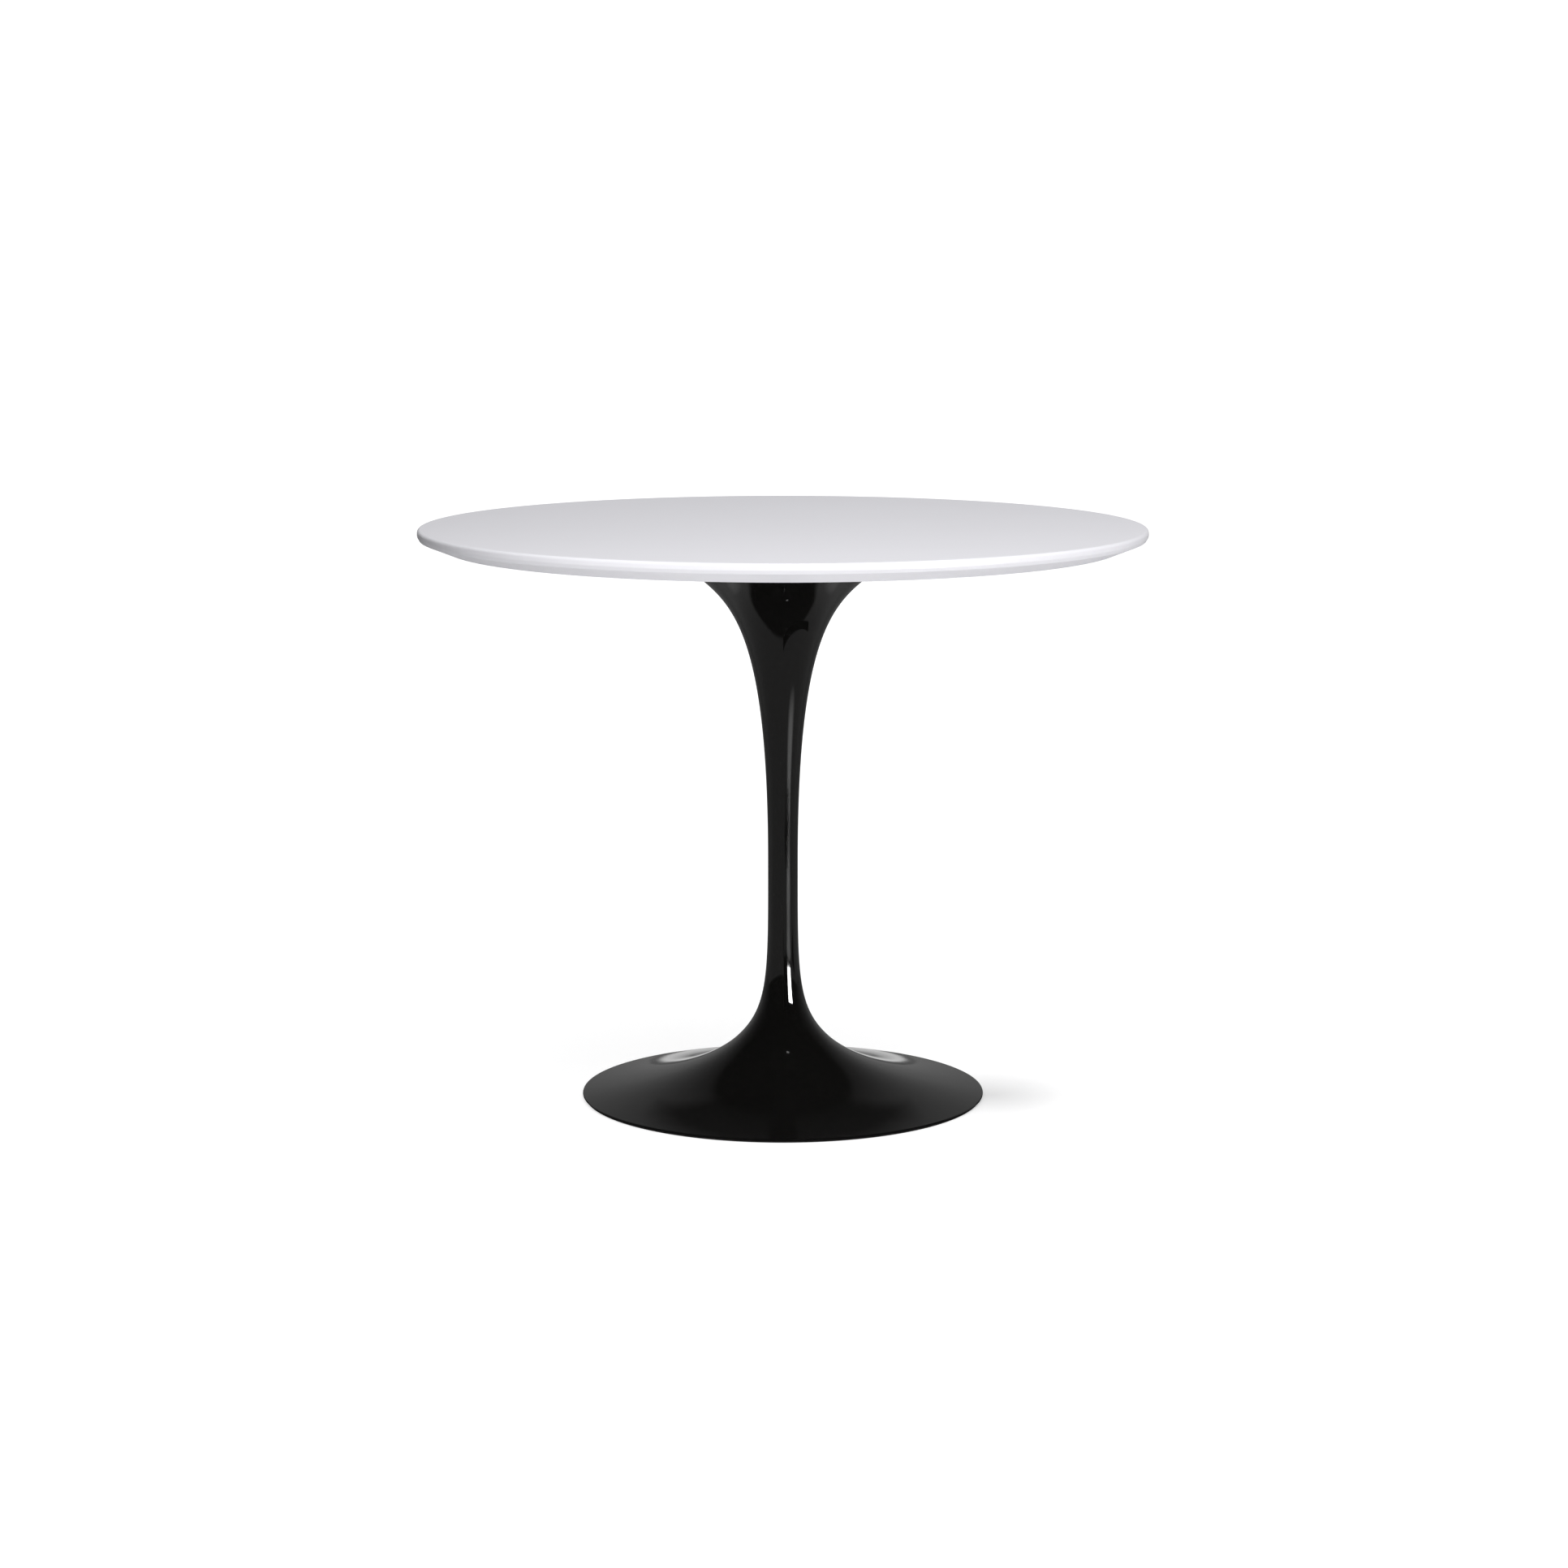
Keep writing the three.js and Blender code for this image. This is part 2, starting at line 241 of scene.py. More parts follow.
class Tree(Nodes):
    """A Geometry Nodes tree with named inputs and one output."""

    def __init__(self, name: str, inputs: Mapping[str, Kind]) -> None:
        """Makes an empty tree.

        Args:
            name: The tree's name.
            inputs: The kind of each named input.
        """
        super().__init__(bpy.data.node_groups.new(name, "GeometryNodeTree"))
        for label, kind in inputs.items():
            self.tree.interface.new_socket(label, in_out="INPUT", socket_type=kind.value)
        self.tree.interface.new_socket("Shape", in_out="OUTPUT", socket_type=Kind.SHAPE.value)
        self.given = self.tree.nodes.new("NodeGroupInput").outputs

    def use(self, part: bpy.types.NodeTree, sockets: Mapping[str, Any]) -> Socket:
        """The output of another tree that is placed in this one as a group."""
        return self.add("GeometryNodeGroup", sockets, node_tree=part).outputs[0]

    def join(self, how: Join, first: Socket, *others: Socket) -> Socket:
        """One closed shape from several."""
        node = self.add("GeometryNodeMeshBoolean", {}, operation=how.value, solver="MANIFOLD")
        if how is Join.CUT:
            self.tree.links.new(first, node.inputs[0])
        else:
            others = (first, *others)
        for shape in others:
            self.tree.links.new(shape, node.inputs[1])
        return node.outputs[0]

    def end(self, shape: Socket, finish: Optional[Socket] = None) -> bpy.types.NodeTree:
        """Realizes the shape, gives it its finish and closes the tree.

        Args:
            shape: The shape that the tree makes.
            finish: The material, for a tree that makes a whole piece.

        Returns:
            The finished tree.
        """
        last = self.add("GeometryNodeRealizeInstances", {"Geometry": shape}).outputs[0]
        if finish is not None:
            last = self.add("GeometryNodeSetMaterial", {"Geometry": last, "Material": finish}).outputs[0]
        self.add("NodeGroupOutput", {"Shape": last})
        return self.tree


def turned_tree() -> bpy.types.NodeTree:
    """An outline carried round a circle too small to see, which closes on the Z axis."""
    tree = Tree("Turned body", {"Outline": Kind.OUTLINE, "Sides": Kind.COUNT})
    path_radius = 0.01 * MM
    outline = tree.add("GeometryNodeObjectInfo", {"Object": tree.given["Outline"]}).outputs["Geometry"]
    path = tree.add("GeometryNodeCurvePrimitiveCircle",
                    {"Resolution": tree.given["Sides"], "Radius": path_radius})
    body = tree.add("GeometryNodeCurveToMesh", {"Curve": path.outputs["Curve"], "Profile Curve": outline})
    closed = tree.add("GeometryNodeMergeByDistance",
                      {"Geometry": body.outputs[0], "Distance": 2.2 * path_radius})
    return tree.end(closed.outputs[0])


def ring_tree() -> bpy.types.NodeTree:
    """Copies of a shape, evenly round a circle about the Z axis."""
    tree = Tree("Ring of copies", {"Shape": Kind.SHAPE, "Count": Kind.COUNT, "Circle": Kind.LENGTH,
                                   "First angle": Kind.LENGTH})
    index = tree.add("GeometryNodeInputIndex", {}).outputs[0]
    share = tree.math("DIVIDE", index, tree.given["Count"])
    angle = tree.math("MULTIPLY_ADD", share, TURN, tree.given["First angle"])
    x = tree.math("MULTIPLY", tree.math("COSINE", angle), tree.given["Circle"])
    y = tree.math("MULTIPLY", tree.math("SINE", angle), tree.given["Circle"])
    place = tree.add("ShaderNodeCombineXYZ", {"X": x, "Y": y}).outputs[0]
    points = tree.add("GeometryNodePoints", {"Count": tree.given["Count"], "Position": place})
    copies = tree.add("GeometryNodeInstanceOnPoints",
                      {"Points": points.outputs[0], "Instance": tree.given["Shape"]})
    return tree.end(copies.outputs[0])


def bar_between(tree: Tree, sides: Any, radius: Any, bottom: Any, top: Any, rows: Any = 1) -> Socket:
    """A straight bar along Z, from its bottom to its top.

    Args:
        tree: The tree that gets the nodes.
        sides: How many sides the bar has.
        radius: Its radius, to its corners.
        bottom: The height of its lower end.
        top: The height of its upper end.
        rows: How many rows of faces lie between the ends.

    Returns:
        The bar.
    """
    length = tree.math("SUBTRACT", top, bottom)
    middle = tree.math("MULTIPLY_ADD", length, 0.5, bottom)
    bar = tree.add("GeometryNodeMeshCylinder",
                   {"Vertices": sides, "Side Segments": rows, "Radius": radius, "Depth": length})
    up = tree.add("ShaderNodeCombineXYZ", {"Z": middle}).outputs[0]
    return tree.add("GeometryNodeTransform", {"Geometry": bar.outputs[0], "Translation": up}).outputs[0]


def hexagon_tree() -> bpy.types.NodeTree:
    """A hexagonal bar along Z."""
    tree = Tree("Hexagonal bar", {"Flats": Kind.LENGTH, "Bottom": Kind.LENGTH, "Top": Kind.LENGTH})
    corner = tree.math("DIVIDE", tree.given["Flats"], math.sqrt(3))
    return tree.end(bar_between(tree, 6, corner, tree.given["Bottom"], tree.given["Top"]))


def thread_tree() -> bpy.types.NodeTree:
    """A bar along Z with a right-hand thread and chamfered ends."""
    tree = Tree("Threaded bar", {"Sides": Kind.COUNT, "Radius": Kind.LENGTH, "Depth": Kind.LENGTH,
                                 "Pitch": Kind.LENGTH, "Bottom": Kind.LENGTH, "Top": Kind.LENGTH})
    given = tree.given
    rows_per_turn = 6
    turns = tree.math("DIVIDE", tree.math("SUBTRACT", given["Top"], given["Bottom"]), given["Pitch"])
    bar = bar_between(tree, given["Sides"], given["Radius"], given["Bottom"], given["Top"],
                      tree.math("MULTIPLY", turns, rows_per_turn))
    place = tree.add("GeometryNodeInputPosition", {}).outputs[0]
    x, y, z = tree.add("ShaderNodeSeparateXYZ", {0: place}).outputs
    round_share = tree.math("DIVIDE", tree.math("ARCTAN2", y, x), TURN)
    along = tree.math("SUBTRACT", tree.math("DIVIDE", z, given["Pitch"]), round_share)
    from_crest = tree.math("PINGPONG", along, 0.5)
    groove = tree.span(from_crest, Ramp(0.06, 0.42))
    flank = tree.math("SUBTRACT", given["Radius"], tree.math("MULTIPLY", groove, given["Depth"]))
    to_end = tree.math("MINIMUM", tree.math("SUBTRACT", given["Top"], z),
                       tree.math("SUBTRACT", z, given["Bottom"]))
    core = tree.math("SUBTRACT", given["Radius"], given["Depth"])
    radius = tree.math("MINIMUM", flank, tree.math("ADD", core, to_end))
    share = tree.math("DIVIDE", radius, given["Radius"])
    scale = tree.add("ShaderNodeCombineXYZ", {"X": share, "Y": share, "Z": 1.0}).outputs[0]
    moved = tree.add("ShaderNodeVectorMath", {0: place, 1: scale}, operation="MULTIPLY").outputs[0]
    return tree.end(tree.add("GeometryNodeSetPosition", {"Geometry": bar, "Position": moved}).outputs[0])


class Workshop:
    """The shared trees, and the outlines that are drawn for them."""

    def __init__(self) -> None:
        """Builds the shared trees."""
        self.turned = turned_tree()
        self.ring = ring_tree()
        self.hexagon = hexagon_tree()
        self.thread = thread_tree()
        self.drawn: list[bpy.types.Object] = []

    def outline(self, name: str, points: Sequence[Point], closed: bool) -> bpy.types.Object:
        """Draws an outline for a tree to turn.

        Args:
            name: The outline's name.
            points: Its points in millimetres, in either direction.
            closed: Whether it is closed; otherwise it starts and ends on the axis.

        Returns:
            The curve, whose Y axis runs down, as turning it needs.
        """
        area = sum(a[0] * b[1] - b[0] * a[1] for a, b in zip(points, [*points[1:], points[0]]))
        ordered = list(points) if area < 0 else list(reversed(points))
        curve = bpy.data.curves.new(name, "CURVE")
        curve.dimensions = "3D"
        spline = curve.splines.new("POLY")
        spline.points.add(len(ordered) - 1)
        for knot, (r, z) in zip(spline.points, ordered):
            knot.co = (r * MM, -z * MM, 0, 1)
        spline.use_cyclic_u = closed
        drawn = bpy.data.objects.new(name, curve)
        bpy.context.scene.collection.objects.link(drawn)
        self.drawn.append(drawn)
        return drawn

    def corners(self, name: str, corners: Sequence[Corner], steps: int = 6) -> bpy.types.Object:
        """Draws an outline from its corners, closed unless it starts and ends on the axis."""
        closed = not (corners[0].r == 0 and corners[-1].r == 0)
        return self.outline(name, rounded(corners, closed, steps), closed)

    def make(self, name: str, tree: bpy.types.NodeTree, values: Mapping[str, Any],
             sharp_deg: float = 32) -> bpy.types.Object:
        """Turns a tree's result into a plain mesh.

        Args:
            name: The new piece's name.
            tree: The tree that shapes it.
            values: The tree's inputs by name.
            sharp_deg: Edges that turn by more than this are shaded sharp.

        Returns:
            The piece, at the origin, with its place in its mesh.
        """
        piece = bpy.data.objects.new(name, bpy.data.meshes.new(name))
        bpy.context.scene.collection.objects.link(piece)
        modifier = piece.modifiers.new("Shape", "NODES")
        modifier.node_group = tree
        for socket in tree.interface.items_tree:
            if socket.in_out == "INPUT" and socket.name in values:
                modifier[socket.identifier] = values[socket.name]
        shaped = piece.evaluated_get(bpy.context.evaluated_depsgraph_get())
        mesh = bpy.data.meshes.new_from_object(shaped)
        piece.modifiers.clear()
        piece.data = mesh
        mesh.name = name
        self._smooth(mesh, sharp_deg)
        return piece

    @staticmethod
    def _smooth(mesh: bpy.types.Mesh, sharp_deg: float) -> None:
        """Merges doubles, points the faces outwards and marks sharp edges."""
        shape = bmesh.new()
        shape.from_mesh(mesh)
        bmesh.ops.remove_doubles(shape, verts=shape.verts, dist=0.002 * MM)
        bmesh.ops.recalc_face_normals(shape, faces=shape.faces)
        open_edges = sum(not e.is_manifold for e in shape.edges)
        shape.to_mesh(mesh)
        shape.free()
        mesh.shade_smooth()
        mesh.set_sharp_from_angle(angle=math.radians(sharp_deg))
        LOG.info("%s: %d faces, %d open edges", mesh.name, len(mesh.polygons), open_edges)

    def clear(self) -> None:
        """Removes the drawn outlines."""
        for drawn in self.drawn:
            bpy.data.objects.remove(drawn)
        self.drawn.clear()


# ---------------------------------------------------------------------------------------------
# Finishes
# ---------------------------------------------------------------------------------------------

Colour = tuple[float, float, float]


class Signal(Enum):
    """The kinds of value that a shader group takes and gives."""

    NUMBER = "NodeSocketFloat"
    VECTOR = "NodeSocketVector"
    COLOUR = "NodeSocketColor"


class Shader(Nodes):
    """A shader tree, for a material or a group."""

    def mix(self, share: Any, first: Any, second: Any) -> Socket:
        """A colour between two colours."""
        node = self.add("ShaderNodeMix", {"Factor": share}, data_type="RGBA")
        for key, value in (("A", first), ("B", second)):
            socket = next(s for s in node.inputs if s.name == key and s.type == "RGBA")
            if isinstance(value, Socket):
                self.tree.links.new(value, socket)
            else:
                socket.default_value = value
        return next(s for s in node.outputs if s.type == "RGBA")


def shader_group(name: str, inputs: Mapping[str, Signal],
                 outputs: Mapping[str, Signal]) -> tuple[Shader, Any, Any]:
    """Makes an empty shader group.

    Args:
        name: The group's name.
        inputs: The kind of each named input.
        outputs: The kind of each named output.

    Returns:
        The group's tree, its inputs and its output node.
    """
    group = bpy.data.node_groups.new(name, "ShaderNodeTree")
    for label, kind in inputs.items():
        group.interface.new_socket(label, in_out="INPUT", socket_type=kind.value)
    for label, kind in outputs.items():
        group.interface.new_socket(label, in_out="OUTPUT", socket_type=kind.value)
    shader = Shader(group)
    given = shader.add("NodeGroupInput", {}).outputs
    return shader, given, shader.add("NodeGroupOutput", {})


def grain_group() -> bpy.types.NodeTree:
    """Fine and broad unevenness of a surface, as one value about zero."""
    shader, given, out = shader_group("Surface grain", {
        "Vector": Signal.VECTOR, "Fine scale": Signal.NUMBER, "Broad scale": Signal.NUMBER,
        "Broad share": Signal.NUMBER,
    }, {"Value": Signal.NUMBER})
    fine, broad = (
        shader.add("ShaderNodeTexNoise", {"Vector": given["Vector"], "Scale": given[scale], "Detail": detail,
                                          "Roughness": roughness}).outputs["Fac"]
        for scale, detail, roughness in (("Fine scale", 2.0, 0.5), ("Broad scale", 1.0, 0.4)))
    shader.fill(out, {"Value": shader.math("MULTIPLY_ADD", broad, given["Broad share"], fine)})
    return shader.tree


def tint_group(name: str, tint: str) -> tuple[Shader, Any, Any]:
    """Makes an empty group that lays a second colour over a first where its mask says.

    Args:
        name: The group's name.
        tint: The name of the second colour's input.

    Returns:
        The group's tree, its inputs and its output node.
    """
    return shader_group(name, {
        "Vector": Signal.VECTOR, "Colour": Signal.COLOUR, tint: Signal.COLOUR, "Amount": Signal.NUMBER,
    }, {"Colour": Signal.COLOUR, "Mask": Signal.NUMBER})


def dust_group() -> bpy.types.NodeTree:
    """A thin film of dust in soft patches, thicker where a surface looks up."""
    shader, given, out = tint_group("Dust film", "Dust colour")
    patches = shader.add("ShaderNodeTexNoise", {"Vector": given["Vector"], "Scale": 14.0, "Detail": 4.0})
    specks = shader.add("ShaderNodeTexVoronoi", {"Vector": given["Vector"], "Scale": 420.0})
    spots = shader.span(specks.outputs["Distance"], Ramp(0.10, 0.04))
    film = shader.math("MULTIPLY_ADD", spots, 1.5, patches.outputs["Fac"])
    normal = shader.add("ShaderNodeNewGeometry", {}).outputs["Normal"]
    upward = shader.add("ShaderNodeSeparateXYZ", {0: normal}).outputs["Z"]
    facing = shader.span(upward, Ramp(-0.2, 0.9, 0.25, 1.0))
    mask = shader.math("MULTIPLY", shader.math("MULTIPLY", film, facing), given["Amount"])
    shader.fill(out, {"Mask": mask, "Colour": shader.mix(mask, given["Colour"], given["Dust colour"])})
    return shader.tree


def wear_group() -> bpy.types.NodeTree:
    """Edges that handling has polished or rubbed, broken up by noise."""
    shader, given, out = tint_group("Edge wear", "Worn colour")
    edges = shader.add("ShaderNodeNewGeometry", {}).outputs["Pointiness"]
    sharp = shader.span(edges, Ramp(0.515, 0.60))
    broken = shader.add("ShaderNodeTexNoise", {"Vector": given["Vector"], "Scale": 90.0, "Detail": 5.0})
    mask = shader.math("MULTIPLY", shader.math("MULTIPLY", sharp, broken.outputs["Fac"]), given["Amount"])
    shader.fill(out, {"Mask": mask, "Colour": shader.mix(mask, given["Colour"], given["Worn colour"])})
    return shader.tree


class Palette:
    """The shader groups that the finishes share."""

    def __init__(self) -> None:
        """Builds each group once."""
        self.grain = grain_group()
        self.dust = dust_group()
        self.wear = wear_group()


@dataclass(frozen=True)
class Finish:
    """A surface: its colour, gloss and unevenness, and its slot in the record.

    The colour varies between two tones over broad patches, edges wear to a third, and dust lies on top.
    """

    name: str
    slot: str
    tone: Colour
    other_tone: Colour
    roughness: tuple[float, float]
    metallic: float = 0.0
    coat: float = 0.0
    coat_roughness: float = 0.03
    specular: float = 0.5
    patch_scale: float = 5.0
    grain_scale: float = 700.0
    broad_scale: float = 10.0
    broad_share: float = 0.0
    grain_height: float = 0.01 * MM
    worn: Colour = (0.5, 0.5, 0.5)
    wear: float = 0.0
    dust: float = 0.01
    dust_colour: Colour = (0.42, 0.40, 0.37)

    def material(self, palette: Palette) -> bpy.types.Material:
        """Builds the finish's material.

        Args:
            palette: The shared shader groups.

        Returns:
            The material.
        """
        made = bpy.data.materials.new(f"{self.name}_finish")
        made.use_nodes = True
        shader = Shader(made.node_tree)
        surface = made.node_tree.nodes["Principled BSDF"]
        where = shader.add("ShaderNodeTexCoord", {}).outputs["Object"]
        patches = shader.add("ShaderNodeTexNoise",
                             {"Vector": where, "Scale": self.patch_scale, "Detail": 3.0}).outputs["Fac"]
        tones = shader.mix(patches, (*self.tone, 1), (*self.other_tone, 1))
        wear = shader.add("ShaderNodeGroup", {
            "Vector": where, "Colour": tones, "Worn colour": (*self.worn, 1), "Amount": self.wear,
        }, node_tree=palette.wear)
        dust = shader.add("ShaderNodeGroup", {
            "Vector": where, "Colour": wear.outputs["Colour"], "Dust colour": (*self.dust_colour, 1),
            "Amount": self.dust,
        }, node_tree=palette.dust)
        grain = shader.add("ShaderNodeGroup", {
            "Vector": where, "Fine scale": self.grain_scale, "Broad scale": self.broad_scale,
            "Broad share": self.broad_share,
        }, node_tree=palette.grain).outputs["Value"]
        gloss = shader.span(grain, Ramp(0.3, 0.7 + 0.7 * self.broad_share, *self.roughness))
        bump = shader.add("ShaderNodeBump", {"Strength": 1.0, "Distance": self.grain_height, "Height": grain})
        shader.fill(surface, {
            "Base Color": dust.outputs["Colour"], "Metallic": self.metallic,
            "Roughness": shader.math("MULTIPLY_ADD", dust.outputs["Mask"], 0.6, gloss),
            "Coat Weight": self.coat, "Coat Roughness": self.coat_roughness,
            "Specular IOR Level": self.specular, "Normal": bump.outputs[0],
        })
        return made


WHITE_LACQUER = Finish(
    "white_satin_lacquer", "white_lacquer", (0.800, 0.795, 0.835), (0.775, 0.770, 0.808),
    (0.30, 0.37), specular=0.2, patch_scale=2.5, grain_scale=520.0, grain_height=0.006 * MM,
    worn=(0.70, 0.68, 0.66), wear=0.12, dust=0.012,
)
BLACK_LACQUER = Finish(
    "black_gloss_lacquer", "black_gloss_lacquer", (0.0040, 0.0039, 0.0037), (0.0048, 0.0046, 0.0044),
    (0.03, 0.06),
    grain_scale=420.0, broad_scale=19.0, broad_share=9.0, grain_height=0.010 * MM,
    worn=(0.012, 0.012, 0.012), wear=0.3, dust=0.0008,
)
ZINC_STEEL = Finish(
    "zinc_plated_steel", "zinc_steel", (0.56, 0.58, 0.60), (0.66, 0.67, 0.66),
    (0.26, 0.42), metallic=1.0,
    patch_scale=160.0, grain_scale=1400.0, broad_scale=300.0, broad_share=0.6, grain_height=0.012 * MM,
    worn=(0.80, 0.80, 0.79), wear=0.7, dust=0.03,
)
BRASS = Finish(
    "brass", "brass", (0.62, 0.44, 0.19), (0.70, 0.52, 0.25),
    (0.24, 0.38), metallic=1.0, patch_scale=120.0, grain_scale=1600.0, grain_height=0.008 * MM,
    worn=(0.86, 0.70, 0.38), wear=0.6, dust=0.02,
)
CAST_IRON = Finish(
    "dark_cast_iron", "grey_iron", (0.030, 0.031, 0.033), (0.050, 0.050, 0.052),
    (0.52, 0.72), metallic=0.35,
    patch_scale=30.0, grain_scale=600.0, broad_scale=90.0, broad_share=1.4, grain_height=0.25 * MM,
    worn=(0.14, 0.135, 0.13), wear=0.6, dust=0.06,
)
BLACK_RUBBER = Finish(
    "black_rubber", "black_rubber", (0.012, 0.012, 0.012), (0.020, 0.019, 0.018),
    (0.62, 0.80), patch_scale=40.0, grain_scale=900.0, grain_height=0.03 * MM,
    worn=(0.05, 0.048, 0.045), wear=0.5, dust=0.05,
)
BLACK_NYLON = Finish(
    "black_nylon", "black_nylon", (0.016, 0.016, 0.017), (0.022, 0.022, 0.022),
    (0.38, 0.52), patch_scale=60.0, grain_scale=1100.0, grain_height=0.02 * MM,
    worn=(0.06, 0.06, 0.058), wear=0.5, dust=0.04,
)


# ---------------------------------------------------------------------------------------------
# Trees for whole pieces
# ---------------------------------------------------------------------------------------------

RING_SIZES = {"Count": Kind.COUNT, "Circle": Kind.LENGTH, "First angle": Kind.LENGTH}
RING_INPUTS = {**RING_SIZES, "Finish": Kind.FINISH}
THREAD_SIZES = {"Thread sides": Kind.COUNT, "Thread radius": Kind.LENGTH, "Thread depth": Kind.LENGTH,
                "Pitch": Kind.LENGTH, "Thread bottom": Kind.LENGTH, "Thread top": Kind.LENGTH}


class PieceTrees:
    """One tree for each sort of piece."""

    def __init__(self, shop: Workshop) -> None:
        """Builds the trees from the workshop's shared ones."""
        self.shop = shop
        self.plain = self._plain()
        self.drilled = self._drilled()
        self.casting = self._casting()
        self.screw = self._screw()
        self.stud = self._stud()
        self.insert = self._insert()
        self.rod = self._rod()
        self.nut = self._nut()
        self.split_ring = self._split_ring()

    def _turn(self, tree: Tree, outline: str) -> Socket:
        """The body turned from one of the tree's outlines."""
        return tree.use(self.shop.turned, {"Outline": tree.given[outline], "Sides": tree.given["Sides"]})

    def _ring(self, tree: Tree, shape: Socket, prefix: str = "") -> Socket:
        """A ring of copies, sized by three of the tree's inputs."""
        return tree.use(self.shop.ring, {
            "Shape": shape,
            "Count": tree.given[f"{prefix}Count"],
            "Circle": tree.given[f"{prefix}Circle"],
            "First angle": tree.given[f"{prefix}First angle"],
        })

    def _thread(self, tree: Tree) -> Socket:
        """A threaded bar, sized by the tree's thread inputs."""
        return tree.use(self.shop.thread, {
            "Sides": tree.given["Thread sides"], "Radius": tree.given["Thread radius"],
            "Depth": tree.given["Thread depth"], "Pitch": tree.given["Pitch"],
            "Bottom": tree.given["Thread bottom"], "Top": tree.given["Thread top"],
        })

    def _plain(self) -> bpy.types.NodeTree:
        """A turned piece, or a ring of them."""
        tree = Tree("Turned piece", {"Outline": Kind.OUTLINE, "Sides": Kind.COUNT, **RING_INPUTS})
        return tree.end(self._ring(tree, self._turn(tree, "Outline")), tree.given["Finish"])

    def _drilled(self) -> bpy.types.NodeTree:
        """A turned piece with two rings of holes."""
        tree = Tree("Drilled piece", {
            "Outline": Kind.OUTLINE, "Sides": Kind.COUNT, "Hole sides": Kind.COUNT,
            **{f"{p}{k}": v for p in ("First ", "Second ")
               for k, v in {"Cutter": Kind.OUTLINE, **RING_SIZES}.items()},
            "Finish": Kind.FINISH,
        })
        body = self._turn(tree, "Outline")
        for prefix in ("First ", "Second "):
            cutter = tree.use(self.shop.turned, {"Outline": tree.given[f"{prefix}Cutter"],
                                                 "Sides": tree.given["Hole sides"]})
            body = tree.join(Join.CUT, body, self._ring(tree, cutter, prefix))
        return tree.end(body, tree.given["Finish"])

    def _casting(self) -> bpy.types.NodeTree:
        """A hollow casting with two rings of drilled bosses on its inner wall and a ring of holes."""
        prefixes = ("First ", "Second ")
        tree = Tree("Casting", {
            "Shell": Kind.OUTLINE, "Core": Kind.OUTLINE, "Sides": Kind.COUNT, "Hole sides": Kind.COUNT,
            **{f"{p}{k}": v for p in prefixes
               for k, v in {"Boss": Kind.OUTLINE, "Cutter": Kind.OUTLINE, **RING_SIZES}.items()},
            "Pin Cutter": Kind.OUTLINE, **{f"Pin {k}": v for k, v in RING_SIZES.items()},
            "Finish": Kind.FINISH,
        })
        body, core = self._turn(tree, "Shell"), self._turn(tree, "Core")
        small = {"Sides": tree.given["Hole sides"]}
        for prefix in prefixes:
            boss = tree.use(self.shop.turned, {"Outline": tree.given[f"{prefix}Boss"], **small})
            inside = tree.join(Join.KEEP_COMMON, core, self._ring(tree, boss, prefix))
            body = tree.join(Join.ADD, body, inside)
        for prefix in (*prefixes, "Pin "):
            cutter = tree.use(self.shop.turned, {"Outline": tree.given[f"{prefix}Cutter"], **small})
            body = tree.join(Join.CUT, body, self._ring(tree, cutter, prefix))
        return tree.end(body, tree.given["Finish"])

    def _screw(self) -> bpy.types.NodeTree:
        """Screws with a turned head and a hexagonal socket in it."""
        tree = Tree("Socket screws", {"Head": Kind.OUTLINE, "Sides": Kind.COUNT, **THREAD_SIZES,
                                      "Socket flats": Kind.LENGTH, "Socket bottom": Kind.LENGTH,
                                      "Socket top": Kind.LENGTH, **RING_INPUTS})
        socket = tree.use(self.shop.hexagon, {"Flats": tree.given["Socket flats"],
                                              "Bottom": tree.given["Socket bottom"],
                                              "Top": tree.given["Socket top"]})
        body = tree.join(Join.ADD, self._turn(tree, "Head"), self._thread(tree))
        return tree.end(self._ring(tree, tree.join(Join.CUT, body, socket)), tree.given["Finish"])

    def _stud(self) -> bpy.types.NodeTree:
        """Studs with a turned foot and a hexagonal collar."""
        tree = Tree("Levelling studs", {
            "Foot": Kind.OUTLINE, "Collar": Kind.OUTLINE, "Sides": Kind.COUNT, **THREAD_SIZES,
            "Collar flats": Kind.LENGTH, "Collar bottom": Kind.LENGTH, "Collar top": Kind.LENGTH,
            **RING_INPUTS,
        })
        flats = tree.use(self.shop.hexagon, {"Flats": tree.given["Collar flats"],
                                             "Bottom": tree.given["Collar bottom"],
                                             "Top": tree.given["Collar top"]})
        collar = tree.join(Join.KEEP_COMMON, self._turn(tree, "Collar"), flats)
        body = tree.join(Join.ADD, self._turn(tree, "Foot"), self._thread(tree), collar)
        return tree.end(self._ring(tree, body), tree.given["Finish"])

    def _insert(self) -> bpy.types.NodeTree:
        """Inserts, threaded outside, with a turned bore."""
        tree = Tree("Threaded inserts",
                    {"Bore": Kind.OUTLINE, "Sides": Kind.COUNT, **THREAD_SIZES, **RING_INPUTS})
        body = tree.join(Join.CUT, self._thread(tree), self._turn(tree, "Bore"))
        return tree.end(self._ring(tree, body), tree.given["Finish"])

    def _rod(self) -> bpy.types.NodeTree:
        """A rod that is threaded all along."""
        tree = Tree("Threaded rod", {**THREAD_SIZES, "Finish": Kind.FINISH})
        return tree.end(self._thread(tree), tree.given["Finish"])

